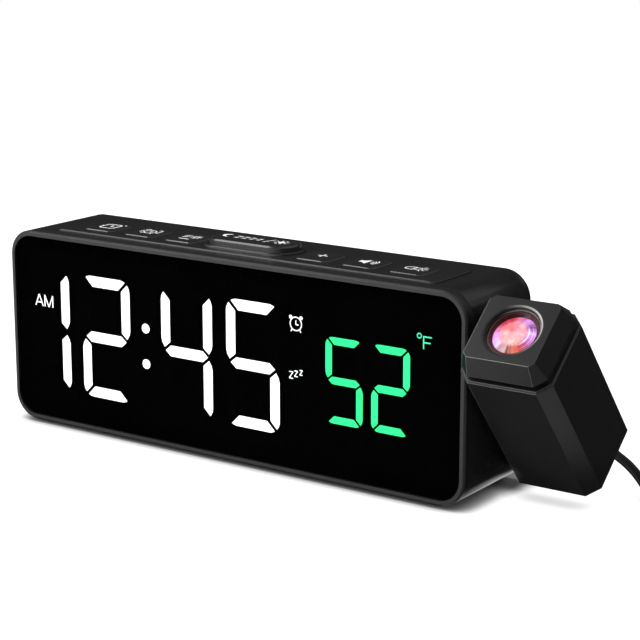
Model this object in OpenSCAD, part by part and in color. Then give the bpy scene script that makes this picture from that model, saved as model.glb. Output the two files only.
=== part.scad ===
// Bedside alarm clock with a swivelling projector head on its right side.
// X runs along the front, -Y faces the user, Z is up. The origin is the centre of the
// anti-slip pad's underside, on the table.

/* [Casing] */
// Width of the casing
body_w = 180; // [168:1:220]
// Depth of the casing, front to back
body_d = 39; // [38:0.5:50]
// Height of the casing
body_h = 66; // [64:1:90]
// Radius of the casing's four corners, seen from the front
corner_r = 9; // [7:0.5:12]
// Wall thickness of the casing
wall = 2.2; // [1.8:0.1:2.6]
// Depth of the front frame
frame_depth = 4; // [3:0.5:5]
// Width of the rim that shows around the window
rim_w = 1.7; // [1.4:0.1:2.5]
// Chamfer along the outer edges of the frame and the rear cover
edge_chamfer = 0.6; // [0.3:0.1:0.9]
// Thickness of the rear cover
cover_t = 3; // [2.6:0.2:4]
// Thickness of the tongues that locate the frame and the cover in the casing
tongue_t = 1.2; // [0.8:0.1:1.6]
// Length of those tongues
tongue_len = 1.8; // [1:0.2:2.4]

/* [Anti-slip pad] */
// Distance from the casing's end to the pad
pad_end = 15; // [12:1:40]
// Depth of the pad
pad_d = 26; // [18:1:30]
// Corner radius of the pad
pad_r = 4; // [2:0.5:8]
// Height that the pad stands out of the casing
pad_proud = 1; // [0.6:0.1:1.6]
// Depth of the pad's pocket in the casing
pad_pocket = 0.8; // [0.4:0.1:1.2]

/* [Display] */
// Thickness of the tinted window
window_t = 1; // [0.8:0.1:1.5]
// Width of the lip that the window is bonded to
lip_w = 4.4; // [3:0.2:5]
// Thickness of the black mask that holds the segments
mask_t = 6; // [5:0.5:7]
// Thickness of the light-spreading segments
segment_depth = 2; // [1.2:0.2:3]
// Height of a time digit
digit_h = 41.6; // [36:0.2:44]
// Width of a segment's bar
segment_w = 3.6; // [3:0.1:4.2]
// Width of the dark joint between two segments
segment_gap = 1; // [0.4:0.1:1.2]
// Outer corner radius of a digit
digit_r = 4.2; // [2:0.1:5]
// Distance from the display's left end to the first digit's right edge
first_digit_end = 18.9; // [17:0.1:22]
// Space between the two digits of a pair
digit_space = 5.7; // [4.5:0.1:8]
// Space between the digits on either side of the colon
colon_space = 13.3; // [9:0.1:16]
// Space between the time and the temperature, where the small signs are
group_space = 17.4; // [15:0.1:22]
// Space between the two temperature digits
small_space = 3.1; // [2:0.1:6]
// Distance from the last temperature digit to the display's right end
unit_space = 13.5; // [10:0.1:16]
// Radius of a colon dot
colon_r = 1.62; // [1.2:0.02:2.2]
// Height between the colon's two dots
colon_step = 12; // [8:0.5:16]
// Size of a temperature digit compared with a time digit
small_digit = 0.658; // [0.6:0.01:0.68]
// How far the display's centre lies below the casing's centre
display_drop = 0.3; // [-1:0.1:1]

/* [Keys] */
// Depth of a key, front to back
key_d = 13; // [10:0.1:14]
// Corner radius of a key
key_r = 2.2; // [1:0.1:4]
// Space between neighbouring keys
key_space = 4.55; // [2.5:0.05:6]
// Space between the ledge around the snooze bar and the nearest key
snooze_space = 1.65; // [1.2:0.05:4]
// Distance from the keypad plate's end to the last key
key_end = 8.05; // [5:0.05:12]
// Height of a key above the keypad plate
key_proud = 0.25; // [0.1:0.05:1]
// Travel of every key
key_travel = 0.5; // [0.3:0.05:0.6]
// Gap around a key in its window
key_gap = 0.15; // [0.1:0.01:0.3]
// Distance from the casing's end to the keypad plate
keypad_end = 14.5; // [12:0.5:16]
// Depth of the keypad plate
keypad_d = 22.9; // [21.4:0.1:23.5]
// Corner radius of the keypad plate
keypad_r = 3; // [1:0.1:5]
// Thickness of the keypad plate
keypad_t = 1.4; // [1.2:0.1:1.6]
// Height that the keypad plate stands above the casing
keypad_proud = 0.5; // [0.2:0.1:0.8]
// How far the keypad plate's centre lies in front of the casing's centre
keypad_forward = 1.4; // [0.6:0.1:1.6]
// How far the keys' centres lie in front of the casing's centre
key_forward = 1.5; // [0.6:0.1:1.6]
// Width of the snooze bar
snooze_w = 33.2; // [28:0.2:36]
// Depth of the snooze bar, whose ends are round
snooze_d = 13.6; // [11:0.1:14.4]
// Height of the snooze bar above the keypad plate
snooze_proud = 2.6; // [1.6:0.1:4]
// How far the snooze bar's centre lies in front of the casing's centre
snooze_forward = 0.9; // [0.6:0.1:1.6]
// Width of the ledge around the snooze bar
collar_w = 1.7; // [1:0.1:2.2]
// Height of that ledge above the keypad plate
collar_h = 0.7; // [0.3:0.1:1.2]
// Length of the stem under each key
key_stem = 2.5; // [2:0.1:3.5]

/* [Projector head] */
// Width of the head along the casing's length
head_w = 30; // [28:0.5:34]
// Depth of the head
head_d = 29.2; // [28:0.2:34]
// Cut across the head's long corners
head_corner = 3.84; // [2.5:0.1:5]
// Wall thickness of the head
head_wall = 1.8; // [1.4:0.1:2.2]
// Length from the pivot to the closed end
head_below = 26.3; // [24:0.1:29]
// Length from the pivot to the rim at the lens end
head_above = 25.5; // [24:0.1:30]
// Height of the groove between the rim and the bevelled cap
cap_groove = 2; // [1:0.1:3]
// Height of the cap's bevel
cap_bevel = 6; // [4:0.1:8]
// Width of the cap's flat face
cap_face = 23; // [21:0.2:25]
// How much smaller the cap's foot is than the head, on each side
cap_inset = 1; // [0.5:0.1:1.4]
// Gap between the casing and the head
head_gap = 1; // [0.8:0.1:2]
// Height of the pivot above the table
pivot_z = 33.5; // [33.5:0.5:45]
// Lean of the head towards the user, from upright
head_lean = 40.3; // [0:0.1:80]

/* [Projector optics] */
// Radius of the recess around the lens
recess_r = 9; // [8.6:0.1:9.6]
// Depth of that recess
recess_depth = 1.2; // [0.6:0.1:2]
// Outer radius of the lens barrel
barrel_r = 7.9; // [7.6:0.1:8.2]
// Length of the lens barrel
barrel_len = 26; // [20:0.5:28]
// Radius of the front lens
lens_r = 6.6; // [6:0.1:6.8]
// Radius of the front lens's curved face
lens_curve = 14; // [10:0.5:30]
// Height at which the lamp board is held, below the pivot
lamp_drop = 12; // [11:0.5:14]

/* [Swivel] */
// Radius of the hollow swivel shaft
shaft_r = 4; // [3:0.1:4.4]
// Running clearance of the shaft in its bush
shaft_clearance = 0.05; // [0.02:0.01:0.1]
// Wall thickness of the bush
bush_wall = 2; // [1.5:0.1:2.4]
// Length that the bush reaches inside the wall
bush_len = 3; // [2:0.5:5]
// Radius of the bore for the lamp's wires
shaft_bore_r = 1.6; // [1.2:0.1:1.8]

/* [Electronics] */
// Thickness of every circuit board
pcb_t = 1.6; // [1.2:0.1:2]
// Width of the main board
main_w = 120; // [112:1:130]
// Height of the main board
main_h = 46; // [42:1:48]
// Distance between the main board and the rear cover
board_gap = 9.5; // [9:0.5:10.5]
// Diameter of the coin cell
cell_d = 20; // [16:1:20]
// Thickness of the coin cell
cell_t = 3.2; // [1.6:0.1:3.4]
// Diameter of the buzzer
buzzer_d = 12; // [9:0.5:14]
// Height of the buzzer
buzzer_h = 7; // [5:0.5:8]
// Place of the supply socket along the back
jack_x = 56; // [30:1:56]
// Height of the supply socket above the casing's underside
jack_up = 11; // [10:0.5:16]

/* [Supply cord] */
// Diameter of the cord
cord_d = 3; // [2.5:0.1:4]
// Outer diameter of the supply plug's barrel
plug_d = 5.5; // [3.5:0.5:5.5]
// Length of the supply plug's grip
grip_len = 14; // [12:1:16]
// Length of the tapered strain relief
relief_len = 8.2; // [6:0.2:10]

/* [Hidden] */
$fn = 64;
eps = 0.01;
cut = 1;               // how far a cutting shape runs past what it cuts
seat_gap = 0.05;       // clearance where a piece is dropped into its seat
slip_gap = 0.2;        // clearance where a piece slides past another

// Casing levels
centre_z = pad_proud + body_h / 2;
top_z = pad_proud + body_h;
front_y = -body_d / 2;
back_y = body_d / 2;
casing_front = front_y + frame_depth;
casing_back = back_y - cover_t;
inner_w = body_w - 2 * wall;
inner_h = body_h - 2 * wall;
inner_r = corner_r - wall;
pad_w = body_w - 2 * pad_end;

// Display levels, front to back
window_inset = 0.05;
window_w = body_w - 2 * rim_w - 2 * seat_gap;
window_h = body_h - 2 * rim_w - 2 * seat_gap;
window_r = corner_r - rim_w;
window_back = front_y + window_inset + window_t;
lip_hole_w = body_w - 2 * rim_w - 2 * lip_w;
lip_hole_h = body_h - 2 * rim_w - 2 * lip_w;
lip_hole_r = max(1, window_r - lip_w);
mask_w = lip_hole_w - 2 * slip_gap;
mask_h = lip_hole_h - 2 * slip_gap;
mask_back = window_back + mask_t;
display_board_w = inner_w - 2 * slip_gap;
display_board_h = mask_h - 2 * abs(display_drop);
display_board_r = 5;
display_back = mask_back + pcb_t;
display_z = centre_z - display_drop;
ear_r = 1.9;
ear_x = inner_w / 2 - ear_r - 0.15;
ear_z = display_board_h / 2 - 5;

// Time and temperature layout. The digits take the width that the spaces leave them:
// three full time digits and two temperature digits, after the narrow first digit.
spaces = first_digit_end + 2 * digit_space + colon_space + group_space + small_space + unit_space;
digit_w = (mask_w - spaces) / (3 + 2 * small_digit);
digit_pitch = digit_w + digit_space;
colon_pitch = digit_w + colon_space;
first_x = -mask_w / 2 + first_digit_end - digit_w / 2;
digit_x = [for (i = [0:3])
    first_x + (i > 0 ? digit_pitch : 0) + (i > 1 ? colon_pitch : 0) + (i > 2 ? digit_pitch : 0)];
colon_x = digit_x[1] + colon_pitch / 2;
small_w = small_digit * digit_w;
small_pitch = small_w + small_space;
small_digit_x = mask_w / 2 - unit_space - 1.5 * small_w - small_space;
time_shown = [1, 2, 4, 5];
temperature_shown = [5, 2];
// Which of a digit's segments are lit: top, upper right, lower right, bottom,
// lower left, upper left, middle
LIT = [
    [1, 1, 1, 1, 1, 1, 0], [0, 1, 1, 0, 0, 0, 0], [1, 1, 0, 1, 1, 0, 1], [1, 1, 1, 1, 0, 0, 1],
    [0, 1, 1, 0, 0, 1, 1], [1, 0, 1, 1, 0, 1, 1], [1, 0, 1, 1, 1, 1, 1], [1, 1, 1, 0, 0, 0, 0],
    [1, 1, 1, 1, 1, 1, 1], [1, 1, 1, 1, 0, 1, 1]
];
led_size = 1.6;
led_h = 0.8;

// Keypad levels, top to bottom
keypad_top = top_z + keypad_proud;
keypad_bottom = keypad_top - keypad_t;
key_y = -key_forward;
snooze_y = -snooze_forward;
keypad_y = -keypad_forward;
keypad_w = body_w - 2 * keypad_end;
ledge_end = snooze_w / 2 + collar_w;
key_w = (keypad_w / 2 - key_end - ledge_end - snooze_space - 2 * key_space) / 3;
key_pitch = key_w + key_space;
key_first_x = ledge_end + snooze_space + key_w / 2;
key_flange = 0.7;
key_flange_t = 0.8;
key_chamfer = 0.25;
flange_top = keypad_bottom - seat_gap;
flange_bottom = flange_top - key_flange_t;
stem_r = 1.9;
stem_bottom = flange_bottom - key_stem;
switch_body_h = 3.2;
switch_w = 6;
plunger_r = 1.75;
plunger_up = 1.1;
key_board_top = stem_bottom - plunger_up - switch_body_h;
key_board_w = keypad_w - 3;
key_board_d = 15;
key_x = [for (side = [-1, 1]) for (i = [0:2])
    side * key_first_x + (side < 0 ? (i - 2) : i) * key_pitch];
switch_x = concat(key_x, [0]);
well_w = 2 * (key_first_x + 2 * key_pitch) + key_w + 2 * key_flange + 2 * slip_gap;
well_d = max(key_d, snooze_d) + 2 * (key_flange + slip_gap + abs(key_y - snooze_y));
snooze_r = snooze_d / 2 - 0.4;
collar_r = snooze_r + collar_w;
post_x = (well_w / 2 + key_board_w / 2) / 2;
post_r = 1.7;
post_y = 4;

// Fasteners
screw_r = 1;
screw_head_r = 1.9;
screw_head_t = 1.3;
screw_len = 5;
pilot_gap = 0.05;
boss_r = 3.4;
boss_in = 3.2;
boss_x = body_w / 2 - wall - boss_in;
boss_z = body_h / 2 - wall - boss_in;
boss_len = 14;
cover_screw_r = 1.3;
cover_head_r = 2.6;
cover_head_t = 1.8;
cover_screw_len = 10;

// Main board and what it carries
main_x = 2;
main_z = pad_proud + 6.5 + main_h / 2;
main_back = casing_back - board_gap;
main_front = main_back - pcb_t;
main_post_x = 44;
main_post_z = main_h / 2 - 4;
main_post_r = 2.6;
jack_z = pad_proud + jack_up;
jack_w = 10;
jack_h = 9;
jack_bore_r = plug_d / 2 + 0.25;
pin_r = 1;
cell_x = -42;
cell_z = main_z - 2;
holder_t = cell_t + 1.6;
door_t = 1.6;
door_ledge = 1.5;
door_hole_w = cell_d + 4;
door_hole_h = cell_d + 2;
door_top = door_hole_h / 2 + 6.5;
door_bottom = door_hole_h / 2 + door_ledge;
door_w = door_hole_w + 2 * door_ledge;
door_h = door_top + door_bottom;
door_z = cell_z + (door_top - door_bottom) / 2;
door_screw_up = door_hole_h / 2 + 3.2;
buzzer_x = 4;
sound_slot_w = 1.6;

// Projector head levels along its own axis, measured from the pivot
head_x = body_w / 2 + head_gap + head_w / 2;
cap_foot = head_above + cap_groove;
cap_top = cap_foot + cap_bevel;
cap_w = head_w - 2 * cap_inset;
cap_d = head_d - 2 * cap_inset + 0.6;
cap_corner = head_corner - 0.5;
face_corner = 1.47;
neck_w = head_w - 2 * head_wall - 2 * seat_gap;
neck_d = head_d - 2 * head_wall - 2 * seat_gap;
neck_corner = head_corner - head_wall * 0.6;
neck_down = 5;
barrel_top = cap_top - recess_depth - 0.2;
barrel_bottom = barrel_top - barrel_len;
lens_seat_top = barrel_top - 1;
lens_edge = 2;
rear_lens_r = lens_r - 0.5;
panel_t = 1.2;
panel_r = rear_lens_r;
lamp_board_top = -lamp_drop;
lamp_h = 1.6;

// Swivel, along X
bush_r = shaft_r + shaft_clearance + bush_wall;
bush_flange_r = bush_r + 2.5;
bush_flange_t = head_gap * 0.6;
bush_inner_x = body_w / 2 - wall - bush_len;
washer_t = 1;
nut_t = 2.6;
nut_r = shaft_r + 3;
shaft_flange_r = shaft_r + 3;
shaft_flange_t = 1.4;
shaft_in_x = bush_inner_x - seat_gap - washer_t - nut_t - 2;
lead_r = 0.9;
header_x = main_x + main_w / 2 - 8;
header = [6, 7.5, 5];
plug_size = [22, 4, 4];
ribbon_w = 20;
ribbon_t = 0.8;
chip_size = [10, 10];
chip_h = 1.6;
can_h = 7;
can_r = 3.1;
// Place of each chip on the board's 60 by 46 grid, and its size
CHIPS = [
    [-17, -9, chip_size[0], chip_size[1]], [-8, -12, 0.6 * chip_size[0], 0.5 * chip_size[1]],
    [11, -6, 0.5 * chip_size[0], 0.8 * chip_size[1]]
];

// Supply plug and cord, in the order of the route
plug_r = plug_d / 2;
plug_in = 9;
grip_r = 4.6;
grip_start = back_y + 0.3;
relief_start = grip_start + grip_len;
relief_end = relief_start + relief_len;
cord_sides = 8;
// From the strain relief to the coil: behind the casing, round past the head and
// down to the table
OUT_ROUTE = [
    [56, 42, 12], [56.3, 46, 11.9], [57.8, 50.3, 11.6], [61.2, 54.6, 11.2], [66.5, 57.6, 10.7],
    [73, 58.8, 10.1], [80, 57.6, 9.5], [87, 54.8, 8.9], [93.7, 51.3, 8.4], [100.2, 47.2, 7.9],
    [106.5, 42.6, 7.5], [112.5, 37.6, 7.2], [116.9, 33.8, 7], [121.3, 29.5, 6.7],
    [125.9, 24.3, 6.4], [131.5, 17.6, 5.8], [137, 10.6, 4.9], [142.2, 3.6, 3.8],
    [147, -3.2, 2.6], [151, -9.2, 1.8], [154.9, -15.1, 1.5]
];
coil_inner_r = 9.2;
coil_outer_r = 25.8;
coil_h = 6.1;
// From the coil's upper turn down to the second plug
END_ROUTE = [
    [154.9, -15.1, 4.6], [159.6, -19.8, 4.4], [165.2, -24, 3.9], [172, -26.6, 3.3],
    [179, -27.4, 2.9], [186, -27.6, 2.8]
];
// The route's start moves with the socket and its end with the head
start_shift = [jack_x, relief_end, jack_z] - OUT_ROUTE[0];
route_head = 121;      // where the head's outer side is for the route as it is written
route_back = 19.5;     // and where the casing's back is
end_shift = [head_x + head_w / 2 - route_head, max(0, back_y - route_back), 0];
CORD_OUT = [for (i = [0:len(OUT_ROUTE) - 1]) let (share = max(0, 1 - i / 11))
    OUT_ROUTE[i] + share * start_shift + (1 - share) * end_shift];
CORD_END = [for (p = END_ROUTE) p + end_shift];
coil_centre = [172, 2] + [end_shift[0], end_shift[1]];
usb_body = [20, 14, 5.6];
usb_tip = [12, 12, 4.5];
usb_wall = 0.4;
usb_end = CORD_END[len(CORD_END) - 1];

// ---- flat shapes ---------------------------------------------------------------------

module rounded_rect(w, h, r) {
    square([w - 2 * r, h], center = true);
    square([w, h - 2 * r], center = true);
    for (sx = [-1, 1], sy = [-1, 1])
        translate([sx * (w / 2 - r), sy * (h / 2 - r)]) circle(r);
}

// Rectangle with its four corners cut off
module octagon(w, d, c) {
    polygon([
        [w / 2, -d / 2 + c], [w / 2, d / 2 - c], [w / 2 - c, d / 2], [-w / 2 + c, d / 2],
        [-w / 2, d / 2 - c], [-w / 2, -d / 2 + c], [-w / 2 + c, -d / 2], [w / 2 - c, -d / 2]
    ]);
}

// Straight pen stroke from a to b
module stroke(a, b, w) {
    v = b - a;
    translate(a) rotate(atan2(v[1], v[0])) translate([0, -w / 2]) square([norm(v), w]);
}

// ---- solids from flat shapes ---------------------------------------------------------

// Stands a flat shape up, seen from the front, and fills from y1 back to y2
module upright(y1, y2) {
    translate([0, y2, 0]) rotate([90, 0, 0]) linear_extrude(y2 - y1) children();
}

module rounded_slab(w, h, r, t) {
    linear_extrude(t) rounded_rect(w, h, r);
}

// Rounded slab whose upper outer edge is chamfered by c
module chamfered_slab(w, h, r, t, c) {
    for (sx = [-1, 1], sy = [-1, 1])
        translate([sx * (w / 2 - r), sy * (h / 2 - r), 0]) rotate_extrude()
            polygon([[0, 0], [r, 0], [r, t - c], [r - c, t], [0, t]]);
    translate([0, 0, t - c]) {
        wedge(w / 2, w / 2 - c, t - c, c, h - 2 * r);
        rotate(90) wedge(h / 2, h / 2 - c, t - c, c, w - 2 * r);
    }
}

// Prism along Y, straight below the origin for a length of base, and narrowing above it
// from half-width a to b over height h
module wedge(a, b, base, h, len) {
    foot = base > 0 ? [[-a, -base], [a, -base]] : [];
    translate([0, len / 2, 0]) rotate([90, 0, 0])
        linear_extrude(len) polygon(concat(foot, [[a, 0], [b, h], [-b, h], [-a, 0]]));
}

// Corner-cut block, straight below the origin for a length of base, that narrows above it
// from its foot to its face
module bevelled_block(w1, d1, c1, w2, d2, c2, base, h) {
    len = 2 * (w1 + d1);
    e1 = (w1 / 2 + d1 / 2 - c1) / sqrt(2);
    e2 = (w2 / 2 + d2 / 2 - c2) / sqrt(2);
    intersection() {
        wedge(w1 / 2, w2 / 2, base, h, len);
        rotate(90) wedge(d1 / 2, d2 / 2, base, h, len);
        rotate(45) wedge(e1, e2, base, h, len);
        rotate(-45) wedge(e1, e2, base, h, len);
    }
}

// Cylinder along +Y from y1 to y2
module rod_y(x, z, y1, y2, r) {
    translate([x, y1, z]) rotate([-90, 0, 0]) cylinder(h = y2 - y1, r = r);
}

// Cylinder along +X from x1 to x2, on the swivel's axis
module rod_x(x1, x2, r) {
    translate([x1, 0, pivot_z]) rotate([0, 90, 0]) cylinder(h = x2 - x1, r = r);
}

module box(lo, hi) {
    translate(lo) cube(hi - lo);
}

// Pan-head screw whose head's underside is at the origin and whose shank points to -Z
module pan_screw(r, head_r, head_t, len) {
    translate([0, 0, -len]) cylinder(h = len, r = r);
    difference() {
        cylinder(h = head_t, r = head_r);
        for (a = [0, 90])
            rotate(a) translate([-head_r * 0.6, -0.3, head_t - 0.6]) cube([head_r * 1.2, 0.6, 1]);
    }
}

// ---- casing --------------------------------------------------------------------------

module casing_bosses(r, y1, y2) {
    for (sx = [-1, 1], sz = [-1, 1]) rod_y(sx * boss_x, centre_z + sz * boss_z, y1, y2, r);
}

module main_casing() {
    color([0.13, 0.13, 0.14]) difference() {
        union() {
            difference() {
                upright(casing_front, casing_back)
                    translate([0, centre_z]) rounded_rect(body_w, body_h, corner_r);
                upright(casing_front - cut, casing_back + cut)
                    translate([0, centre_z]) rounded_rect(inner_w, inner_h, inner_r);
            }
            intersection() {
                casing_bosses(boss_r, casing_back - boss_len, casing_back);
                upright(casing_front, casing_back)
                    translate([0, centre_z]) rounded_rect(body_w - eps, body_h - eps, corner_r);
            }
            for (sx = [-1, 1], sy = [-1, 1])
                translate([sx * post_x, key_y + sy * post_y, key_board_top])
                    cylinder(h = top_z - wall / 2 - keypad_t + keypad_proud - key_board_top, r = post_r);
            rod_x(bush_inner_x + 1, body_w / 2 - wall / 2, bush_r + 2);
        }
        casing_bosses(cover_screw_r + pilot_gap, casing_back - boss_len + 2, casing_back + cut);
        translate([0, keypad_y, keypad_bottom]) rounded_slab(
            keypad_w + 2 * seat_gap, keypad_d + 2 * seat_gap, keypad_r, keypad_t + cut);
        translate([0, key_y, top_z - wall - cut])
            linear_extrude(wall + 2 * cut) square([well_w, well_d], center = true);
        for (sx = [-1, 1], sy = [-1, 1])
            translate([sx * post_x, key_y + sy * post_y, key_board_top - cut])
                cylinder(h = screw_len + cut, r = screw_r + pilot_gap);
        translate([0, 0, pad_proud - cut]) rounded_slab(
            pad_w + 2 * seat_gap, pad_d + 2 * seat_gap, pad_r + seat_gap, pad_pocket + cut);
        rod_x(bush_inner_x - cut, body_w / 2 + cut, bush_r);
    }
}

module front_frame() {
    color([0.2, 0.2, 0.21]) difference() {
        union() {
            translate([0, casing_front, centre_z]) rotate([90, 0, 0])
                chamfered_slab(body_w, body_h, corner_r, frame_depth, edge_chamfer);
            difference() {
                upright(casing_front, casing_front + tongue_len) translate([0, centre_z])
                    rounded_rect(inner_w - 2 * seat_gap, inner_h - 2 * seat_gap, inner_r);
                upright(casing_front - cut, casing_front + tongue_len + cut)
                    translate([0, centre_z]) rounded_rect(
                        inner_w - 2 * tongue_t, inner_h - 2 * tongue_t, inner_r - tongue_t / 2);
            }
            for (sx = [-1, 1], sz = [-1, 1])
                rod_y(sx * ear_x, display_z + sz * ear_z, casing_front, mask_back, ear_r);
        }
        upright(front_y - cut, window_back) translate([0, centre_z])
            rounded_rect(window_w + 2 * seat_gap, window_h + 2 * seat_gap, window_r);
        upright(window_back - eps, casing_front + cut) translate([0, centre_z])
            rounded_rect(lip_hole_w, lip_hole_h, lip_hole_r);
        for (sx = [-1, 1], sz = [-1, 1])
            rod_y(sx * ear_x, display_z + sz * ear_z, display_back - screw_len, mask_back + cut,
                screw_r + pilot_gap);
    }
}

module rear_cover() {
    color([0.13, 0.13, 0.14]) difference() {
        union() {
            translate([0, casing_back, centre_z]) rotate([-90, 0, 0])
                chamfered_slab(body_w, body_h, corner_r, cover_t, edge_chamfer);
            difference() {
                upright(casing_back - tongue_len, casing_back) translate([0, centre_z])
                    rounded_rect(inner_w - 2 * seat_gap, inner_h - 2 * seat_gap, inner_r);
                upright(casing_back - tongue_len - cut, casing_back)
                    translate([0, centre_z]) rounded_rect(
                        inner_w - 2 * tongue_t, inner_h - 2 * tongue_t, inner_r - tongue_t / 2);
                casing_bosses(boss_r + slip_gap, casing_back - tongue_len - cut, casing_back);
            }
            for (sx = [-1, 1], sz = [-1, 1])
                rod_y(main_x + sx * main_post_x, main_z + sz * main_post_z,
                    main_back, casing_back, main_post_r);
        }
        for (sx = [-1, 1], sz = [-1, 1]) {
            rod_y(sx * boss_x, centre_z + sz * boss_z, casing_back - tongue_len - cut, back_y + cut,
                cover_screw_r + slip_gap);
            rod_y(sx * boss_x, centre_z + sz * boss_z, back_y - cover_head_t, back_y + cut,
                cover_head_r + slip_gap);
            rod_y(main_x + sx * main_post_x, main_z + sz * main_post_z,
                main_back - cut, main_front + screw_len, screw_r + pilot_gap);
        }
        rod_y(jack_x, jack_z, casing_back - cut, back_y + cut, jack_bore_r + 0.5);
        upright(casing_back - cut, back_y + cut) translate([cell_x, cell_z])
            rounded_rect(door_hole_w, door_hole_h, 1);
        upright(back_y - door_t, back_y + cut) translate([cell_x, door_z])
            rounded_rect(door_w + 2 * seat_gap, door_h + 2 * seat_gap, 2);
        rod_y(cell_x, cell_z + door_screw_up, casing_back - cut, back_y, screw_r + pilot_gap);
        for (i = [-3:3])
            translate([buzzer_x + i * 2 * sound_slot_w - sound_slot_w / 2, casing_back - cut,
                main_z - 4])
                cube([sound_slot_w, cover_t + 2 * cut, 8]);
    }
}

module cover_screws() {
    color("dimgray") for (sx = [-1, 1], sz = [-1, 1])
        translate([sx * boss_x, back_y - cover_head_t, centre_z + sz * boss_z])
            rotate([-90, 0, 0])
                pan_screw(cover_screw_r, cover_head_r, cover_head_t - 0.3, cover_screw_len);
}

module antislip_pad() {
    color([0.08, 0.08, 0.08]) rounded_slab(pad_w, pad_d, pad_r, pad_proud + pad_pocket);
}

// ---- display -------------------------------------------------------------------------

module display_window() {
    color([0.02, 0.02, 0.02, 0.6]) upright(front_y + window_inset, window_back)
        translate([0, centre_z]) rounded_rect(window_w, window_h, window_r - seat_gap);
}

// The upper right bar of a digit, its outer end cut to the digit's round corner
module side_bar() {
    x = digit_w / 2;
    h = digit_h / 2;
    s = segment_w;
    polygon([
        [x - s, s * 0.82], [x - s, h - s - segment_gap * 0.3], [x, h - segment_gap * 0.3],
        [x, s * 1.1], [x - s * 0.1, s * 0.72], [x - s * 0.37, s * 0.29]
    ]);
}

module top_bar() {
    x = digit_w / 2;
    h = digit_h / 2;
    s = segment_w;
    g = segment_gap * 1.3;
    polygon([[x - s - g, h - s], [x - g, h], [-x + g, h], [-x + s + g, h - s]]);
}

module middle_bar() {
    x = digit_w / 2;
    s = segment_w;
    polygon([
        [x - s * 0.48, 0], [x - s * 1.07, s / 2], [-x + s * 1.07, s / 2], [-x + s * 0.48, 0],
        [-x + s * 1.07, -s / 2], [x - s * 1.07, -s / 2]
    ]);
}

module bar(i) {
    if (i == 0) top_bar();
    if (i == 1) side_bar();
    if (i == 2) mirror([0, 1]) side_bar();
    if (i == 3) mirror([0, 1]) top_bar();
    if (i == 4) rotate(180) side_bar();
    if (i == 5) mirror([1, 0]) side_bar();
    if (i == 6) middle_bar();
}

// The bars of a digit whose state is lit (1) or dark (0)
module digit(shown, state) {
    intersection() {
        rounded_rect(digit_w, digit_h, digit_r);
        for (i = [0:6]) if (LIT[shown][i] == state) bar(i);
    }
}

// The first digit can only show a 1, so it has two bars, and both are lit
module time_layout(state) {
    for (n = [1:3]) translate([digit_x[n], display_z]) digit(time_shown[n], state);
    if (state == 1) {
        translate([digit_x[0], display_z]) digit(time_shown[0], 1);
        for (s = [-1, 1])
            translate([colon_x, display_z + s * colon_step / 2]) circle(colon_r);
    }
}

module temperature_layout(state) {
    for (n = [0:1]) translate([small_digit_x + n * small_pitch, display_z])
        scale(small_digit) digit(temperature_shown[n], state);
}

icon_w = 0.42;
letter_h = 4;
icon_r = 2.3;
snooze_mark = 2.1;
icon_x = digit_x[3] + digit_w / 2;
unit_x = small_digit_x + small_pitch + small_w / 2;
// Places of the small signs, from the edge of the digit beside them and the display's centre
letters_at = [digit_x[0] + digit_w / 2, display_z] + [-15.3, 7.6];
letter_step = 1.05 * letter_h;
alarm_at = [icon_x, display_z] + [6.3, 15.9];
marks_at = [icon_x, display_z] + [3.7, -1.7];
mark_step = [2, 0.75];
degree_at = [unit_x, display_z] + [3.1, 18.5];
unit_at = [unit_x, display_z] + [4.6, 14.6];
degree_r = 0.87;

module letter_a() {
    w = 0.85 * letter_h;
    stroke([0, 0], [w / 2, letter_h], icon_w);
    stroke([w, 0], [w / 2, letter_h], icon_w);
    stroke([0.2 * w, 0.32 * letter_h], [0.8 * w, 0.32 * letter_h], icon_w);
}

module letter_m() {
    w = 0.9 * letter_h;
    stroke([0, 0], [0, letter_h], icon_w);
    stroke([0, letter_h], [w / 2, 0], icon_w);
    stroke([w / 2, 0], [w, letter_h], icon_w);
    stroke([w, 0], [w, letter_h], icon_w);
}

module letter_f() {
    w = 0.7 * letter_h;
    stroke([0, 0], [0, letter_h], icon_w);
    stroke([-icon_w / 2, letter_h - icon_w / 2], [w, letter_h - icon_w / 2], icon_w);
    stroke([0, letter_h / 2], [0.86 * w, letter_h / 2], icon_w);
}

module letter_z(h) {
    w = h * 0.72;
    t = 0.7 * icon_w;
    stroke([0, 0], [w, 0], t);
    stroke([0, 0], [w, h], t);
    stroke([0, h], [w, h], t);
}

module alarm_icon() {
    difference() {
        circle(icon_r);
        circle(icon_r - 0.8 * icon_w);
    }
    stroke([0, -0.1 * icon_r], [0, 0.5 * icon_r], 0.8 * icon_w);
    stroke([0, -0.1 * icon_r], [0.45 * icon_r, -0.1 * icon_r], 0.8 * icon_w);
    for (s = [-1, 1]) {
        translate([s * 0.85 * icon_r, 0.88 * icon_r]) circle(0.26 * icon_r);
        stroke([s * 0.66 * icon_r, -0.82 * icon_r], [s * 0.82 * icon_r, -1.12 * icon_r], 0.8 * icon_w);
    }
}

module white_icons() {
    translate(letters_at) letter_a();
    translate(letters_at + [letter_step, 0]) letter_m();
    translate(alarm_at) alarm_icon();
    for (i = [0:2]) translate(marks_at + i * mark_step) letter_z((1 - i * 0.15) * snooze_mark);
}

module unit_icon() {
    translate(degree_at) difference() {
        circle(degree_r);
        circle(degree_r - 0.8 * icon_w);
    }
    translate(unit_at) letter_f();
}

// Light wells behind the small icons
well_r = 1.2;
icon_wells = [
    letters_at + letter_h * [0.53, 0.5], alarm_at, marks_at + 1.2 * mark_step,
    unit_at + letter_h * [0.15, 0.5]
];

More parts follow.
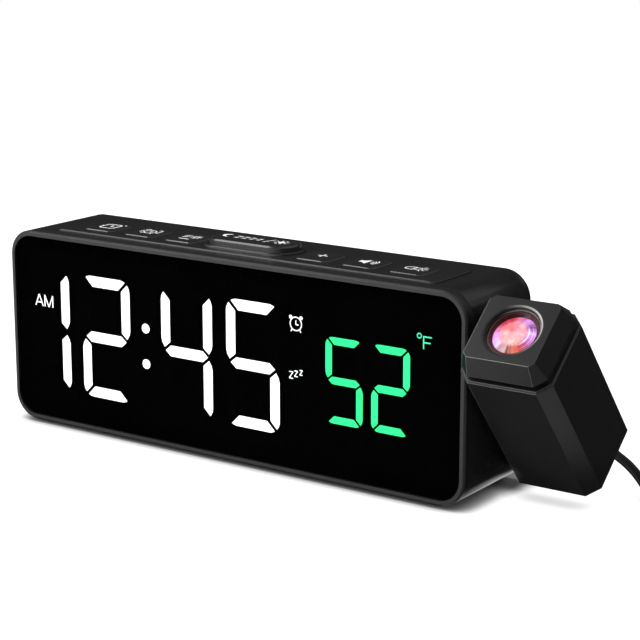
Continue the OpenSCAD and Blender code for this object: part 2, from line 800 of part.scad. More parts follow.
module display_mask() {
    color([0.03, 0.03, 0.03]) difference() {
        upright(window_back, mask_back) difference() {
            translate([0, centre_z]) rounded_rect(mask_w, mask_h, 1);
            time_layout(0);
            time_layout(1);
            temperature_layout(0);
            temperature_layout(1);
        }
        upright(window_back - cut, window_back + segment_depth) {
            white_icons();
            unit_icon();
        }
        for (p = icon_wells) rod_y(
            p[0], p[1], window_back + segment_depth - eps, mask_back + cut, well_r);
    }
}

module time_digits() {
    color("white") upright(window_back, window_back + segment_depth) time_layout(1);
}

module temperature_digits() {
    color([0.2, 0.88, 0.5]) upright(window_back, window_back + segment_depth)
        temperature_layout(1);
}

module unlit_segments() {
    color([0.1, 0.1, 0.1]) upright(window_back, window_back + segment_depth) {
        time_layout(0);
        temperature_layout(0);
    }
}

module indicator_icons() {
    color("white") upright(window_back, window_back + segment_depth) white_icons();
}

module temperature_unit() {
    color([0.4, 0.88, 0.65]) upright(window_back, window_back + segment_depth) unit_icon();
}

module display_board() {
    color([0.05, 0.2, 0.1]) difference() {
        upright(mask_back, display_back) translate([0, display_z])
            rounded_rect(display_board_w, display_board_h, display_board_r);
        for (sx = [-1, 1], sz = [-1, 1])
            rod_y(sx * ear_x, display_z + sz * ear_z, mask_back - cut, display_back + cut,
                screw_r + slip_gap);
    }
}

// Places of a digit's seven lamps, in the order of LIT
function lamp_places(w, h) = [
    [0, h], [w, h / 2], [w, -h / 2], [0, -h], [-w, -h / 2], [-w, h / 2], [0, 0]
];

module display_leds() {
    w = (digit_w - segment_w) / 2;
    h = (digit_h - segment_w) / 2;
    places = concat(
        [for (i = [1:2]) lamp_places(w, h)[i] + [digit_x[0], display_z]],
        [for (n = [1:3]) for (p = lamp_places(w, h)) p + [digit_x[n], display_z]],
        [for (n = [0:1]) for (p = lamp_places(w, h))
            p * small_digit + [small_digit_x + n * small_pitch, display_z]],
        [for (s = [-1, 1]) [colon_x, display_z + s * colon_step / 2]],
        icon_wells
    );
    color("khaki") for (p = places)
        translate([p[0] - led_size / 2, mask_back - led_h, p[1] - led_size / 2])
            cube([led_size, led_h, led_size]);
}

// ---- boards --------------------------------------------------------------------------

module ribbon_cable() {
    x = main_x + main_w / 12;
    z = main_z + main_h / 6;
    a = plug_size[0] / 2;
    b = ribbon_w / 2;
    h = plug_size[2] / 2;
    l = plug_size[1];
    color("lightgray") {
        box([x - a, display_back, z - h], [x + a, display_back + l, z + h]);
        box([x - b, display_back + l, z - ribbon_t / 2], [x + b, main_front - l, z + ribbon_t / 2]);
        box([x - a, main_front - l, z - h], [x + a, main_front, z + h]);
    }
}

module main_board() {
    color([0.05, 0.25, 0.12]) difference() {
        upright(main_front, main_back) translate([main_x, main_z])
            square([main_w, main_h], center = true);
        for (sx = [-1, 1], sz = [-1, 1])
            rod_y(main_x + sx * main_post_x, main_z + sz * main_post_z, main_front - cut,
                main_back + cut, screw_r + slip_gap);
    }
}

module board_chips() {
    u = main_w / 60;
    v = main_h / 46;
    color([0.1, 0.1, 0.1]) {
        for (c = CHIPS) translate([main_x + c[0] * u, main_front - chip_h, main_z + c[1] * v])
            cube([c[2], chip_h, c[3]]);
        for (x = [17, 21])
            rod_y(main_x + x * u, main_z - 12 * v, main_front - can_h, main_front, can_r);
        box([header_x, main_front - header[1], pivot_z - header[2] / 2],
            [header_x + header[0], main_front, pivot_z + header[2] / 2]);
    }
}

// The identical small screws of the display board, the main board and the key board
module board_screws() {
    color("silver") {
        for (sx = [-1, 1], sz = [-1, 1]) {
            translate([sx * ear_x, display_back, display_z + sz * ear_z]) rotate([-90, 0, 0])
                pan_screw(screw_r, screw_head_r, screw_head_t, screw_len);
            translate([main_x + sx * main_post_x, main_front, main_z + sz * main_post_z])
                rotate([90, 0, 0]) pan_screw(screw_r, screw_head_r, screw_head_t, screw_len);
            translate([sx * post_x, key_y + sz * post_y, key_board_top - pcb_t])
                rotate([180, 0, 0]) pan_screw(screw_r, screw_head_r, screw_head_t, screw_len);
        }
    }
}

module buzzer() {
    color([0.08, 0.08, 0.08]) difference() {
        rod_y(buzzer_x, main_z, main_back, main_back + buzzer_h, buzzer_d / 2);
        rod_y(buzzer_x, main_z, main_back + buzzer_h - 1.5, main_back + buzzer_h + cut, 1.2);
    }
}

module battery_holder() {
    color([0.15, 0.15, 0.16]) difference() {
        upright(main_back, main_back + holder_t) translate([cell_x, cell_z])
            rounded_rect(cell_d + 4, cell_d + 4, 3);
        rod_y(cell_x, cell_z, main_back + 0.8, main_back + holder_t + cut, cell_d / 2 + 0.15);
    }
}

module coin_cell() {
    color("silver") {
        rod_y(cell_x, cell_z, main_back + 0.8, main_back + 1.4, cell_d / 2 - 1.5);
        rod_y(cell_x, cell_z, main_back + 1.4, main_back + 0.8 + cell_t, cell_d / 2);
    }
}

module battery_door() {
    color([0.13, 0.13, 0.14]) difference() {
        upright(back_y - door_t, back_y) translate([cell_x, door_z])
            rounded_rect(door_w, door_h, 2 - seat_gap);
        rod_y(cell_x, cell_z + door_screw_up, back_y - door_t - cut, back_y + cut,
            screw_r + slip_gap);
        rod_y(cell_x, cell_z + door_screw_up, back_y - 0.8, back_y + cut,
            screw_head_r + slip_gap);
        for (i = [-1:1])
            translate([cell_x - 4, back_y - 0.4, cell_z - door_bottom + 5 + i * 1.6])
                cube([8, 1, 0.8]);
    }
}

module battery_door_screw() {
    color("silver") translate([cell_x, back_y - 0.8, cell_z + door_screw_up])
        rotate([-90, 0, 0]) pan_screw(screw_r, screw_head_r, 0.8, cover_t - 0.8 + 1);
}

module dc_jack() {
    color([0.06, 0.06, 0.06]) {
        difference() {
            box([jack_x - jack_w / 2, main_back, jack_z - jack_h / 2],
                [jack_x + jack_w / 2, casing_back, jack_z + jack_h / 2]);
            rod_y(jack_x, jack_z, back_y - plug_in - 0.5, casing_back + cut, jack_bore_r);
        }
        rod_y(jack_x, jack_z, back_y - plug_in - 0.6, casing_back - 1, pin_r);
    }
}

// ---- keypad --------------------------------------------------------------------------

module keypad_plate() {
    color([0.14, 0.14, 0.15]) difference() {
        union() {
            translate([0, keypad_y, keypad_bottom])
                chamfered_slab(keypad_w, keypad_d, keypad_r, keypad_t, key_chamfer);
            translate([0, snooze_y, keypad_top - key_chamfer]) chamfered_slab(
                snooze_w + 2 * collar_w, snooze_d + 2 * collar_w, collar_r,
                collar_h + key_chamfer, key_chamfer);
        }
        for (x = key_x) translate([x, key_y, keypad_bottom - cut]) rounded_slab(
            key_w + 2 * key_gap, key_d + 2 * key_gap, key_r + key_gap, keypad_t + 2 * cut);
        translate([0, snooze_y, keypad_bottom - cut]) rounded_slab(
            snooze_w + 2 * key_gap, snooze_d + 2 * key_gap, snooze_r + key_gap,
            keypad_t + collar_h + 2 * cut);
    }
}

module key_board() {
    color([0.05, 0.25, 0.12]) difference() {
        translate([-key_board_w / 2, key_y - key_board_d / 2, key_board_top - pcb_t])
            cube([key_board_w, key_board_d, pcb_t]);
        for (sx = [-1, 1], sy = [-1, 1])
            translate([sx * post_x, key_y + sy * post_y, key_board_top - pcb_t - cut])
                cylinder(h = pcb_t + 2 * cut, r = screw_r + slip_gap);
    }
}

module key_switches() {
    color("dimgray") for (x = switch_x) translate([x, key_y, key_board_top]) difference() {
        translate([-switch_w / 2, -switch_w / 2, 0]) cube([switch_w, switch_w, switch_body_h]);
        translate([0, 0, switch_body_h - key_travel - 0.5])
            cylinder(h = key_travel + 0.5 + cut, r = plunger_r + 0.08);
    }
}

// Plunger of one switch, whose foot stays in the switch over the whole travel
module plunger(x) {
    color("tan") translate([x, key_y, key_board_top + switch_body_h - 0.3])
        cylinder(h = plunger_up + 0.3, r = plunger_r);
}

module key(x) {
    color([0.15, 0.15, 0.16]) translate([x, key_y, 0]) {
        translate([0, 0, flange_top])
            chamfered_slab(key_w, key_d, key_r, keypad_top + key_proud - flange_top, key_chamfer);
        translate([0, 0, flange_bottom]) rounded_slab(
            key_w + 2 * key_flange, key_d + 2 * key_flange, key_r, key_flange_t);
        translate([0, 0, stem_bottom]) cylinder(h = key_stem, r = stem_r);
    }
}

module clock_key() { key(key_x[0]); }
module alarm_key() { key(key_x[1]); }
module mode_key() { key(key_x[2]); }
module plus_key() { key(key_x[3]); }
module volume_key() { key(key_x[4]); }
module projector_key() { key(key_x[5]); }

module snooze_bar() {
    color([0.15, 0.15, 0.16]) {
        translate([0, snooze_y, flange_top]) chamfered_slab(
            snooze_w, snooze_d, snooze_r, keypad_top + snooze_proud - flange_top, 2 * key_chamfer);
        translate([0, snooze_y, flange_bottom]) rounded_slab(
            snooze_w + 2 * key_flange, snooze_d + 2 * key_flange, snooze_r, key_flange_t);
        translate([0, key_y, stem_bottom]) cylinder(h = key_stem, r = stem_r);
    }
}

module clock_key_plunger() { plunger(key_x[0]); }
module alarm_key_plunger() { plunger(key_x[1]); }
module mode_key_plunger() { plunger(key_x[2]); }
module plus_key_plunger() { plunger(key_x[3]); }
module volume_key_plunger() { plunger(key_x[4]); }
module projector_key_plunger() { plunger(key_x[5]); }
module snooze_plunger() { plunger(0); }

// ---- swivel --------------------------------------------------------------------------

module swivel_bush() {
    color("silver") difference() {
        union() {
            rod_x(bush_inner_x, body_w / 2 + bush_flange_t, bush_r);
            rod_x(body_w / 2, body_w / 2 + bush_flange_t, bush_flange_r);
        }
        rod_x(bush_inner_x - cut, body_w / 2 + cut + bush_flange_t, shaft_r + shaft_clearance);
    }
}

module swivel_shaft() {
    wall_in = body_w / 2 + head_gap + head_wall;
    color("gainsboro") difference() {
        union() {
            rod_x(shaft_in_x, wall_in, shaft_r);
            rod_x(wall_in, wall_in + shaft_flange_t, shaft_flange_r);
        }
        rod_x(shaft_in_x - cut, wall_in + shaft_flange_t + cut, shaft_bore_r);
    }
}

module friction_washer() {
    color("goldenrod") difference() {
        rod_x(bush_inner_x - seat_gap - washer_t, bush_inner_x - seat_gap, nut_r - 0.5);
        rod_x(bush_inner_x - seat_gap - washer_t - cut, bush_inner_x, shaft_r);
    }
}

module shaft_nut() {
    x2 = bush_inner_x - seat_gap - washer_t;
    color("gainsboro") difference() {
        translate([x2 - nut_t, 0, pivot_z]) rotate([0, 90, 0]) cylinder(h = nut_t, r = nut_r, $fn = 6);
        rod_x(x2 - nut_t - cut, x2 + cut, shaft_r);
    }
}

// ---- projector head ------------------------------------------------------------------

// Puts a shape drawn along Z around the pivot where the leaning head is
module in_head() {
    translate([head_x, 0, pivot_z]) rotate([head_lean, 0, 0]) children();
}

module projector_housing() {
    rim = 0.5;
    inner_d = head_d - 2 * head_wall;
    post = [head_w / 2 - head_wall - 3.6, inner_d / 2 - 3.6];
    color([0.12, 0.12, 0.12]) difference() {
        in_head() {
            difference() {
                translate([0, 0, head_above - rim]) bevelled_block(
                    head_w, head_d, head_corner, head_w - 2 * rim, head_d - 2 * rim,
                    head_corner - rim * 0.6, head_below + head_above - rim, rim);
                translate([0, 0, -head_below + head_wall]) linear_extrude(head_below + head_above)
                    octagon(head_w - 2 * head_wall, inner_d, head_corner - head_wall * 0.6);
            }
            for (sx = [-1, 1], sy = [-1, 1])
                translate([sx * post[0], sy * post[1], -head_below + head_wall / 2])
                    cylinder(h = head_below - head_wall / 2 + lamp_board_top - pcb_t, r = 2);
        }
        rod_x(body_w / 2, body_w / 2 + head_gap + head_wall + eps, shaft_r);
    }
}

module projector_cap() {
    color([0.2, 0.2, 0.2]) in_head() difference() {
        union() {
            translate([0, 0, head_above - neck_down]) linear_extrude(neck_down + cap_groove)
                octagon(neck_w, neck_d, neck_corner);
            translate([0, 0, cap_foot]) bevelled_block(
                cap_w, cap_d, cap_corner, cap_face, cap_face - 0.4, face_corner, 0, cap_bevel);
        }
        translate([0, 0, cap_top - recess_depth])
            cylinder(h = recess_depth + eps, r1 = recess_r - 0.8, r2 = recess_r);
        translate([0, 0, head_above - neck_down - cut])
            cylinder(h = cap_bevel + cap_groove + neck_down + cut, r = barrel_r + seat_gap);
        translate([0, 0, head_above - neck_down - cut]) linear_extrude(neck_down)
            octagon(neck_w - 2 * head_wall, neck_d - 2 * head_wall, neck_corner);
    }
}

module lens_barrel() {
    color([0.05, 0.05, 0.05]) in_head() difference() {
        translate([0, 0, barrel_bottom]) cylinder(h = barrel_len, r = barrel_r);
        translate([0, 0, barrel_top - 0.4]) cylinder(h = 0.4 + cut, r = lens_r + 0.7);
        translate([0, 0, barrel_top - 0.8]) cylinder(h = 0.8 + cut, r = lens_r + 0.35);
        translate([0, 0, lens_seat_top - lens_edge]) cylinder(h = lens_edge + cut + 1, r = lens_r);
        translate([0, 0, barrel_bottom - cut]) cylinder(h = barrel_len, r = lens_r - 1.1);
        translate([0, 0, barrel_bottom - cut]) cylinder(h = 9 + cut, r = rear_lens_r);
    }
}

// Lens with a flat back at z = 0 and a domed front above an edge of the given thickness
module plano_convex(r, edge, curve) {
    dome = curve - sqrt(curve * curve - r * r);
    intersection() {
        cylinder(h = edge + dome, r = r);
        translate([0, 0, edge + dome - curve]) sphere(curve);
    }
}

module front_lens() {
    color([0.8, 0.7, 0.8, 0.5]) in_head() translate([0, 0, lens_seat_top - lens_edge])
        plano_convex(lens_r, lens_edge, lens_curve);
}

module rear_lens() {
    color([0.8, 0.8, 0.9, 0.5]) in_head() translate([0, 0, barrel_bottom + 9])
        mirror([0, 0, 1]) plano_convex(rear_lens_r, lens_edge, 1.2 * lens_curve);
}

module image_panel() {
    color([0.3, 0.1, 0.1]) in_head() difference() {
        translate([0, 0, barrel_bottom]) cylinder(h = panel_t, r = panel_r);
        translate([-3, -2, barrel_bottom + panel_t - 0.3]) cube([6, 4, 1]);
    }
}

module lamp() {
    color("mistyrose") in_head() {
        translate([-2.5, -2.5, lamp_board_top]) cube([5, 5, lamp_h]);
        translate([0, 0, lamp_board_top + lamp_h]) intersection() {
            sphere(2);
            cylinder(h = 3, r = 2);
        }
    }
}

module lamp_board() {
    w = head_w - 2 * head_wall - 4;
    d = head_d - 2 * head_wall - 4;
    color([0.05, 0.25, 0.12]) in_head()
        translate([-w / 2, -d / 2, lamp_board_top - pcb_t]) cube([w, d, pcb_t]);
}

// The lamp's wires, twisted: from the main board through the swivel shaft and down to
// the lamp board
module projector_lead() {
    turn_x = -head_w / 2 + head_wall + shaft_flange_t + 1.5 + lead_r;
    color("firebrick") {
        rod_x(header_x + header[0], head_x + turn_x, lead_r);
        in_head() {
            translate([turn_x, 0, 0]) sphere(lead_r);
            translate([turn_x, 0, lamp_board_top]) cylinder(h = lamp_drop, r = lead_r);
        }
    }
}

// ---- supply cord ---------------------------------------------------------------------

module dc_plug() {
    color([0.1, 0.1, 0.1]) difference() {
        union() {
            rod_y(jack_x, jack_z, back_y - plug_in, grip_start + 1, plug_r);
            rod_y(jack_x, jack_z, grip_start, relief_start, grip_r);
            translate([jack_x, relief_start, jack_z]) rotate([-90, 0, 0])
                cylinder(h = relief_len, r1 = grip_r - 1, r2 = cord_d / 2 + 0.4);
        }
        rod_y(jack_x, jack_z, back_y - plug_in - cut, grip_start, pin_r + 0.15);
        for (i = [0:5])
            translate([jack_x, grip_start + 3 + i * 1.6, jack_z]) rotate([-90, 0, 0])
                difference() {
                    cylinder(h = 0.8, r = grip_r + cut);
                    translate([0, 0, -cut]) cylinder(h = 0.8 + 2 * cut, r = grip_r - 0.3);
                }
    }
}

function unit(v) = v / norm(v);
function heading(p, i) = unit(p[min(i + 1, len(p) - 1)] - p[max(i - 1, 0)]);
function ring(p, i, r, n) = let (
        t = heading(p, i),
        side = unit(cross([0, 0, 1], t)),
        up = cross(t, side))
    [for (k = [0:n - 1]) p[i] + r * (cos(360 * (k + 0.5) / n) * side + sin(360 * (k + 0.5) / n) * up)];

// Round tube through the points p, with one ring of n corners at each
module tube(p, r, n) {
    last = len(p) - 1;
    points = [for (i = [0:last]) each ring(p, i, r, n)];
    walls = [for (i = [0:last - 1]) for (k = [0:n - 1]) let (m = (k + 1) % n)
        each [[i * n + k, i * n + m, (i + 1) * n + m], [i * n + k, (i + 1) * n + m, (i + 1) * n + k]]];
    start = [for (k = [n - 1:-1:0]) k];
    end = [for (k = [0:n - 1]) last * n + k];
    polyhedron(points, concat(walls, [start, end]), convexity = 6);
}

module power_cord() {
    color([0.06, 0.06, 0.06]) {
        tube(CORD_OUT, cord_d / 2, cord_sides);
        tube(CORD_END, cord_d / 2, cord_sides);
    }
}

module cord_coil() {
    color([0.06, 0.06, 0.06]) translate(coil_centre) rotate_extrude()
        translate([coil_inner_r, 0]) square([coil_outer_r - coil_inner_r, coil_h]);
}

module usb_plug() {
    color([0.1, 0.1, 0.1]) translate([usb_end[0], usb_end[1], 0]) {
        translate([0, -usb_body[1] / 2, 0]) cube(usb_body);
    }
}

module usb_shell() {
    color("silver") translate([usb_end[0] + usb_body[0], usb_end[1], usb_body[2] / 2]) {
        difference() {
            translate([0, -usb_tip[1] / 2, -usb_tip[2] / 2]) cube(usb_tip);
            translate([usb_wall, -usb_tip[1] / 2 + usb_wall, 0])
                cube([usb_tip[0], usb_tip[1] - 2 * usb_wall, usb_tip[2] / 2 - usb_wall]);
        }
    }
}

main_casing();
front_frame();
rear_cover();
cover_screws();
antislip_pad();
display_window();
display_mask();
time_digits();
temperature_digits();
unlit_segments();
indicator_icons();
temperature_unit();
display_board();
display_leds();
ribbon_cable();
main_board();
board_chips();
board_screws();
buzzer();
battery_holder();
coin_cell();
battery_door();
battery_door_screw();
dc_jack();
swivel_bush();
keypad_plate();
key_board();
key_switches();
clock_key();
alarm_key();
mode_key();
plus_key();
volume_key();
projector_key();
snooze_bar();
clock_key_plunger();
alarm_key_plunger();
mode_key_plunger();
plus_key_plunger();
volume_key_plunger();
projector_key_plunger();
snooze_plunger();
projector_housing();
projector_cap();
lens_barrel();
front_lens();
rear_lens();
image_panel();
lamp();
lamp_board();
swivel_shaft();
friction_washer();
shaft_nut();
projector_lead();
dc_plug();
power_cord();
cord_coil();
usb_plug();
usb_shell();
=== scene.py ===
import math

import bmesh
import bpy
from mathutils import Matrix, Vector


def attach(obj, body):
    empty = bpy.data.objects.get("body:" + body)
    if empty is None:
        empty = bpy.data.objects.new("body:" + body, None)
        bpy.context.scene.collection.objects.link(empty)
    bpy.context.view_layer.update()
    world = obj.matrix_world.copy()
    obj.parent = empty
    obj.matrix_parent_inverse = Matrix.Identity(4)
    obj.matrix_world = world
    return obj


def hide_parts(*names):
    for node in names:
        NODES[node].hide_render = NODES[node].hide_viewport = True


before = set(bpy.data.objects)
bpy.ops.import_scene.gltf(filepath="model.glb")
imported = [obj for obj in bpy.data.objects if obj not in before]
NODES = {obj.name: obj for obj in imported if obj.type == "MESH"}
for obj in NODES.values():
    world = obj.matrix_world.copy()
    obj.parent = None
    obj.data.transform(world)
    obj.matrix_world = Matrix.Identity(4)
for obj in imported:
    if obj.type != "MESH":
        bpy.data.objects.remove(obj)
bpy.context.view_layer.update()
MM = 0.001


# ---- camera --------------------------------------------------------------------------

CAMERA_PLACE = (0.357279, -0.480741, 0.187209)
CAMERA_DOWN, CAMERA_TURN = 0.2359805736, 0.6048964495
CAMERA_LENS = 106.49


def make_camera():
    data = bpy.data.cameras.new("camera")
    data.lens = CAMERA_LENS
    data.sensor_width = 36
    data.clip_start = 0.01
    cam = bpy.data.objects.new("camera", data)
    cam.location = CAMERA_PLACE
    cam.rotation_euler = (math.pi / 2 - CAMERA_DOWN, 0, CAMERA_TURN)
    bpy.context.scene.collection.objects.link(cam)
    bpy.context.scene.camera = cam


make_camera()


# ---- cord ----------------------------------------------------------------------------

# The route's points as in the part's source, in mm
OUT_ROUTE = [
    (56, 42, 12), (56.3, 46, 11.9), (57.8, 50.3, 11.6), (61.2, 54.6, 11.2), (66.5, 57.6, 10.7),
    (73, 58.8, 10.1), (80, 57.6, 9.5), (87, 54.8, 8.9), (93.7, 51.3, 8.4), (100.2, 47.2, 7.9),
    (106.5, 42.6, 7.5), (112.5, 37.6, 7.2), (116.9, 33.8, 7), (121.3, 29.5, 6.7),
    (125.9, 24.3, 6.4), (131.5, 17.6, 5.8), (137, 10.6, 4.9), (142.2, 3.6, 3.8),
    (147, -3.2, 2.6), (151, -9.2, 1.8),
]
END_ROUTE = [(159.6, -19.8, 4.4), (165.2, -24, 3.9), (172, -26.6, 3.3), (179, -27.4, 2.9),
             (186, -27.6, 2.8)]
COIL_CENTRE = (172, 2)
CORD_R = 1.5


def coil_points():
    """Two layers: inwards on the table, up at the inner turn, and outwards on top. The coil
    ends at the angle at which it started."""
    outer, inner = 24.18, 10.8
    low, high = CORD_R, 3 * CORD_R + 0.1
    start, inwards, rise, per_turn = 225, 4.4 * 360, 80, 16
    up = inwards + rise
    total = up + 4 * 360 + (720 - up % 360) % 360
    count = round(total / 360 * per_turn)
    points = []
    for k in range(count + 1):
        angle = total * k / count
        if angle <= inwards:
            r, z = outer + (inner - outer) * angle / inwards, low
        elif angle <= up:
            t = (angle - inwards) / rise
            r, z = inner, low + (high - low) * (3 - 2 * t) * t * t
        else:
            r, z = inner + (outer - inner) * (angle - up) / (total - up), high
        a = math.radians(start + angle)
        points.append((COIL_CENTRE[0] + r * math.cos(a), COIL_CENTRE[1] + r * math.sin(a), z))
    return points


def make_cord():
    curve = bpy.data.curves.new("supply_cord", "CURVE")
    curve.dimensions = "3D"
    # Each point's radius holds the cord's radius, so that the curve's box is the cord's own
    curve.bevel_depth = 1
    curve.bevel_resolution = 4
    curve.resolution_u = 6
    curve.use_fill_caps = True
    points = OUT_ROUTE + coil_points() + END_ROUTE
    spline = curve.splines.new("BEZIER")
    spline.bezier_points.add(len(points) - 1)
    for b, p in zip(spline.bezier_points, points):
        b.co = Vector(p) * MM
        b.handle_left_type = b.handle_right_type = "AUTO"
        b.radius = CORD_R * MM
    piece = bpy.data.objects.new("supply_cord", curve)
    bpy.context.scene.collection.objects.link(piece)
    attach(piece, "clock")
    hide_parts("power_cord", "cord_coil")
    return piece


cord = make_cord()


# ---- node helpers --------------------------------------------------------------------

BLACK, WHITE = (0, 0, 0), (1, 1, 1)


def grey(level):
    return (level, level, level)


def scaled(colour, share):
    return tuple(c * share for c in colour)


class Nodes:
    """A node tree, with one call for each node that is added."""

    def __init__(self, tree):
        self.tree = tree

    def add(self, kind, **values):
        node = self.tree.nodes.new(kind)
        for name, value in values.items():
            setattr(node, name, value)
        return node

    def link(self, a, b):
        self.tree.links.new(a, b)

    def feed(self, value, socket):
        """Sets the socket to a number or a vector, or links it to another node's output."""
        if isinstance(value, (int, float, tuple)):
            socket.default_value = value
        else:
            self.link(value, socket)

    def coords(self, output="Object"):
        return self.add("ShaderNodeTexCoord").outputs[output]

    def split(self, vector):
        node = self.add("ShaderNodeSeparateXYZ")
        self.link(vector, node.inputs[0])
        return tuple(node.outputs)

    def noise(self, vector, scale, detail=2.0, roughness=0.5):
        node = self.add("ShaderNodeTexNoise")
        node.inputs["Scale"].default_value = scale
        node.inputs["Detail"].default_value = detail
        node.inputs["Roughness"].default_value = roughness
        self.link(vector, node.inputs["Vector"])
        return node.outputs["Fac"]

    def ramp(self, fac, stops):
        node = self.add("ShaderNodeValToRGB")
        ramp = node.color_ramp
        while len(ramp.elements) < len(stops):
            ramp.elements.new(0.5)
        for element, (place, colour) in zip(ramp.elements, stops):
            element.position = place
            element.color = (*colour, 1)
        self.link(fac, node.inputs["Fac"])
        return node.outputs["Color"]

    def remap(self, fac, low, high):
        """From low where the input is 0 to high where it is 1."""
        node = self.add("ShaderNodeMapRange")
        node.inputs["To Min"].default_value = low
        node.inputs["To Max"].default_value = high
        self.link(fac, node.inputs["Value"])
        return node.outputs["Result"]

    def step(self, value, low, high, kind="SMOOTHSTEP"):
        """From 0 where the input is low to 1 where it is high."""
        node = self.add("ShaderNodeMapRange", interpolation_type=kind)
        node.inputs["From Min"].default_value = low
        node.inputs["From Max"].default_value = high
        self.link(value, node.inputs["Value"])
        return node.outputs["Result"]

    def maths(self, operation, a, b=0.5):
        node = self.add("ShaderNodeMath", operation=operation)
        self.feed(a, node.inputs[0])
        self.feed(b, node.inputs[1])
        return node.outputs[0]

    def product(self, a, *others):
        for b in others:
            a = self.maths("MULTIPLY", a, b)
        return a

    def highest(self, a, *others):
        for b in others:
            a = self.maths("MAXIMUM", a, b)
        return a

    def dot(self, a, b):
        node = self.add("ShaderNodeVectorMath", operation="DOT_PRODUCT")
        self.feed(a, node.inputs[0])
        self.feed(b, node.inputs[1])
        return node.outputs["Value"]

    def turn(self, x, y):
        """The angle around the local Z axis: 0 and 1 at the left, 0.5 at the right."""
        half_turns = self.maths("ADD", self.maths("ARCTAN2", y, x), math.pi)
        return self.maths("DIVIDE", half_turns, 2 * math.pi)

    def blend(self, kind, amount, a, b):
        node = self.add("ShaderNodeMix", data_type="RGBA", blend_type=kind)
        self.feed(amount, node.inputs[0])
        self.link(a, node.inputs[6])
        self.link(b, node.inputs[7])
        return node.outputs[2]

    def bump(self, height, strength, distance, normal=None):
        node = self.add("ShaderNodeBump")
        node.inputs["Strength"].default_value = strength
        node.inputs["Distance"].default_value = distance
        self.link(height, node.inputs["Height"])
        if normal is not None:
            self.link(normal, node.inputs["Normal"])
        return node.outputs["Normal"]

    def edge(self, radius):
        node = self.add("ShaderNodeBevel", samples=6)
        node.inputs["Radius"].default_value = radius
        return node.outputs["Normal"]


class Shader(Nodes):
    """A new material with its surface shader."""

    def __init__(self, name):
        self.material = bpy.data.materials.new(name)
        self.material.use_nodes = True
        super().__init__(self.material.node_tree)
        self.surface = self.tree.nodes["Principled BSDF"]
        self.output = self.tree.nodes["Material Output"]

    def set(self, **values):
        """Numbers and colours that are the same all over."""
        for name, value in values.items():
            self.surface.inputs[name.replace("_", " ")].default_value = value

    def wire(self, **values):
        """Outputs that vary over the surface."""
        for name, value in values.items():
            self.link(value, self.surface.inputs[name.replace("_", " ")])


# ---- materials -----------------------------------------------------------------------

GRAIN = 1 / 0.00022
GRAIN_DEPTH = 0.00004


def plastic(name, dark, light, rough, edge=0.0, spec=0.4, front=None, line=None):
    """Moulded plastic: a fine spark-eroded grain, slight colour drift and handling marks.
    A front tone is painted light: it lightens the sides that face forward, as if they were lit from
    the front.
    A line is a painted highlight or painted shade along the edges: a radius, a tone and the side
    that its edges face (or none, for every edge)."""
    s = Shader(name)
    where = s.coords()
    drift = s.noise(where, 30, 3, 0.6)

    def drifting(low, high):
        return s.ramp(drift, [(0.3, low), (0.7, high)])

    colour = drifting(dark, light)
    if front:
        # painted light: forward-facing sides are mixed towards the lighter front tone
        forward = s.maths("MULTIPLY", s.split(s.coords("Normal"))[1], -1.0)
        colour = s.blend("MIX", s.ramp(forward, [(0.7, BLACK), (0.95, WHITE)]), colour,
                         drifting(scaled(front, 0.85), front))
    if line:
        # painted highlight or painted shade: edges within the bevel radius take the line's tone
        radius, tone, aim = line
        softened = s.edge(radius)
        bend = s.dot(softened, s.add("ShaderNodeNewGeometry").outputs["Normal"])
        painted_edge_mask = s.ramp(bend, [(0.95, WHITE), (0.995, BLACK)])
        if aim:
            painted_edge_mask = s.product(painted_edge_mask, s.ramp(s.dot(softened, aim), [(0.66, BLACK), (0.78, WHITE)]))
        colour = s.blend("MIX", painted_edge_mask, colour, drifting(scaled(tone, 0.85), tone))
    smudge = s.noise(where, 90, 4, 0.65)
    normal = s.edge(edge) if edge else None
    s.wire(Base_Color=colour, Roughness=s.remap(smudge, rough - 0.05, rough + 0.06),
           Normal=s.bump(s.noise(where, GRAIN), 0.12, GRAIN_DEPTH, normal))
    s.set(Specular_IOR_Level=spec)
    return s.material


def framed(name):
    """The frame: satin sides like the casing's, a front face painted lighter as if lit from the
    front with a painted highlight line at its edge, and the bevel between painted darker as shade.
    """
    s = Shader(name)
    where = s.coords()
    depth = s.step(s.split(where)[1], -0.0196, -0.0186, "LINEAR")
    # painted light: lighter front face, a lighter band at its edge as painted highlight, darker
    # bevel as painted shade
    tone = s.ramp(depth, [(0.0, (0.024, 0.024, 0.0235)), (0.12, (0.027, 0.027, 0.0264)),
                          (0.2, (0.016, 0.016, 0.0157)), (0.62, (0.013, 0.013, 0.0127)),
                          (0.72, (0.009, 0.009, 0.0093))])
    drift = s.ramp(s.noise(where, 40, 3), [(0.3, grey(0.9)), (0.7, WHITE)])
    s.wire(Base_Color=s.blend("MULTIPLY", 1.0, tone, drift),
           Roughness=s.remap(s.noise(where, 90, 4), 0.42, 0.52),
           Normal=s.bump(s.noise(where, 4500), 0.06, GRAIN_DEPTH))
    s.set(Specular_IOR_Level=0.3)
    return s.material


def metal(name, colour, rough, metallic=1.0):
    """Plated or turned metal with fine lines along one direction."""
    s = Shader(name)
    stretch = s.add("ShaderNodeMapping")
    s.link(s.coords(), stretch.inputs["Vector"])
    stretch.inputs["Scale"].default_value = (900, 60, 60)
    lines = s.noise(stretch.outputs["Vector"], 12, 3)
    s.wire(Roughness=s.remap(lines, rough - 0.08, rough + 0.1), Normal=s.bump(lines, 0.1, 0.00003))
    s.set(Base_Color=(*colour, 1), Metallic=metallic)
    return s.material


def rubber(name, colour):
    """Matt rubber with a coarse grain."""
    s = Shader(name)
    where = s.coords()
    s.wire(Base_Color=s.ramp(s.noise(where, 60, 3), [(0.35, scaled(colour, 0.6)), (0.65, colour)]),
           Normal=s.bump(s.noise(where, 1800, 3), 0.4, 0.0001))
    s.set(Roughness=0.78, Specular_IOR_Level=0.25)
    return s.material


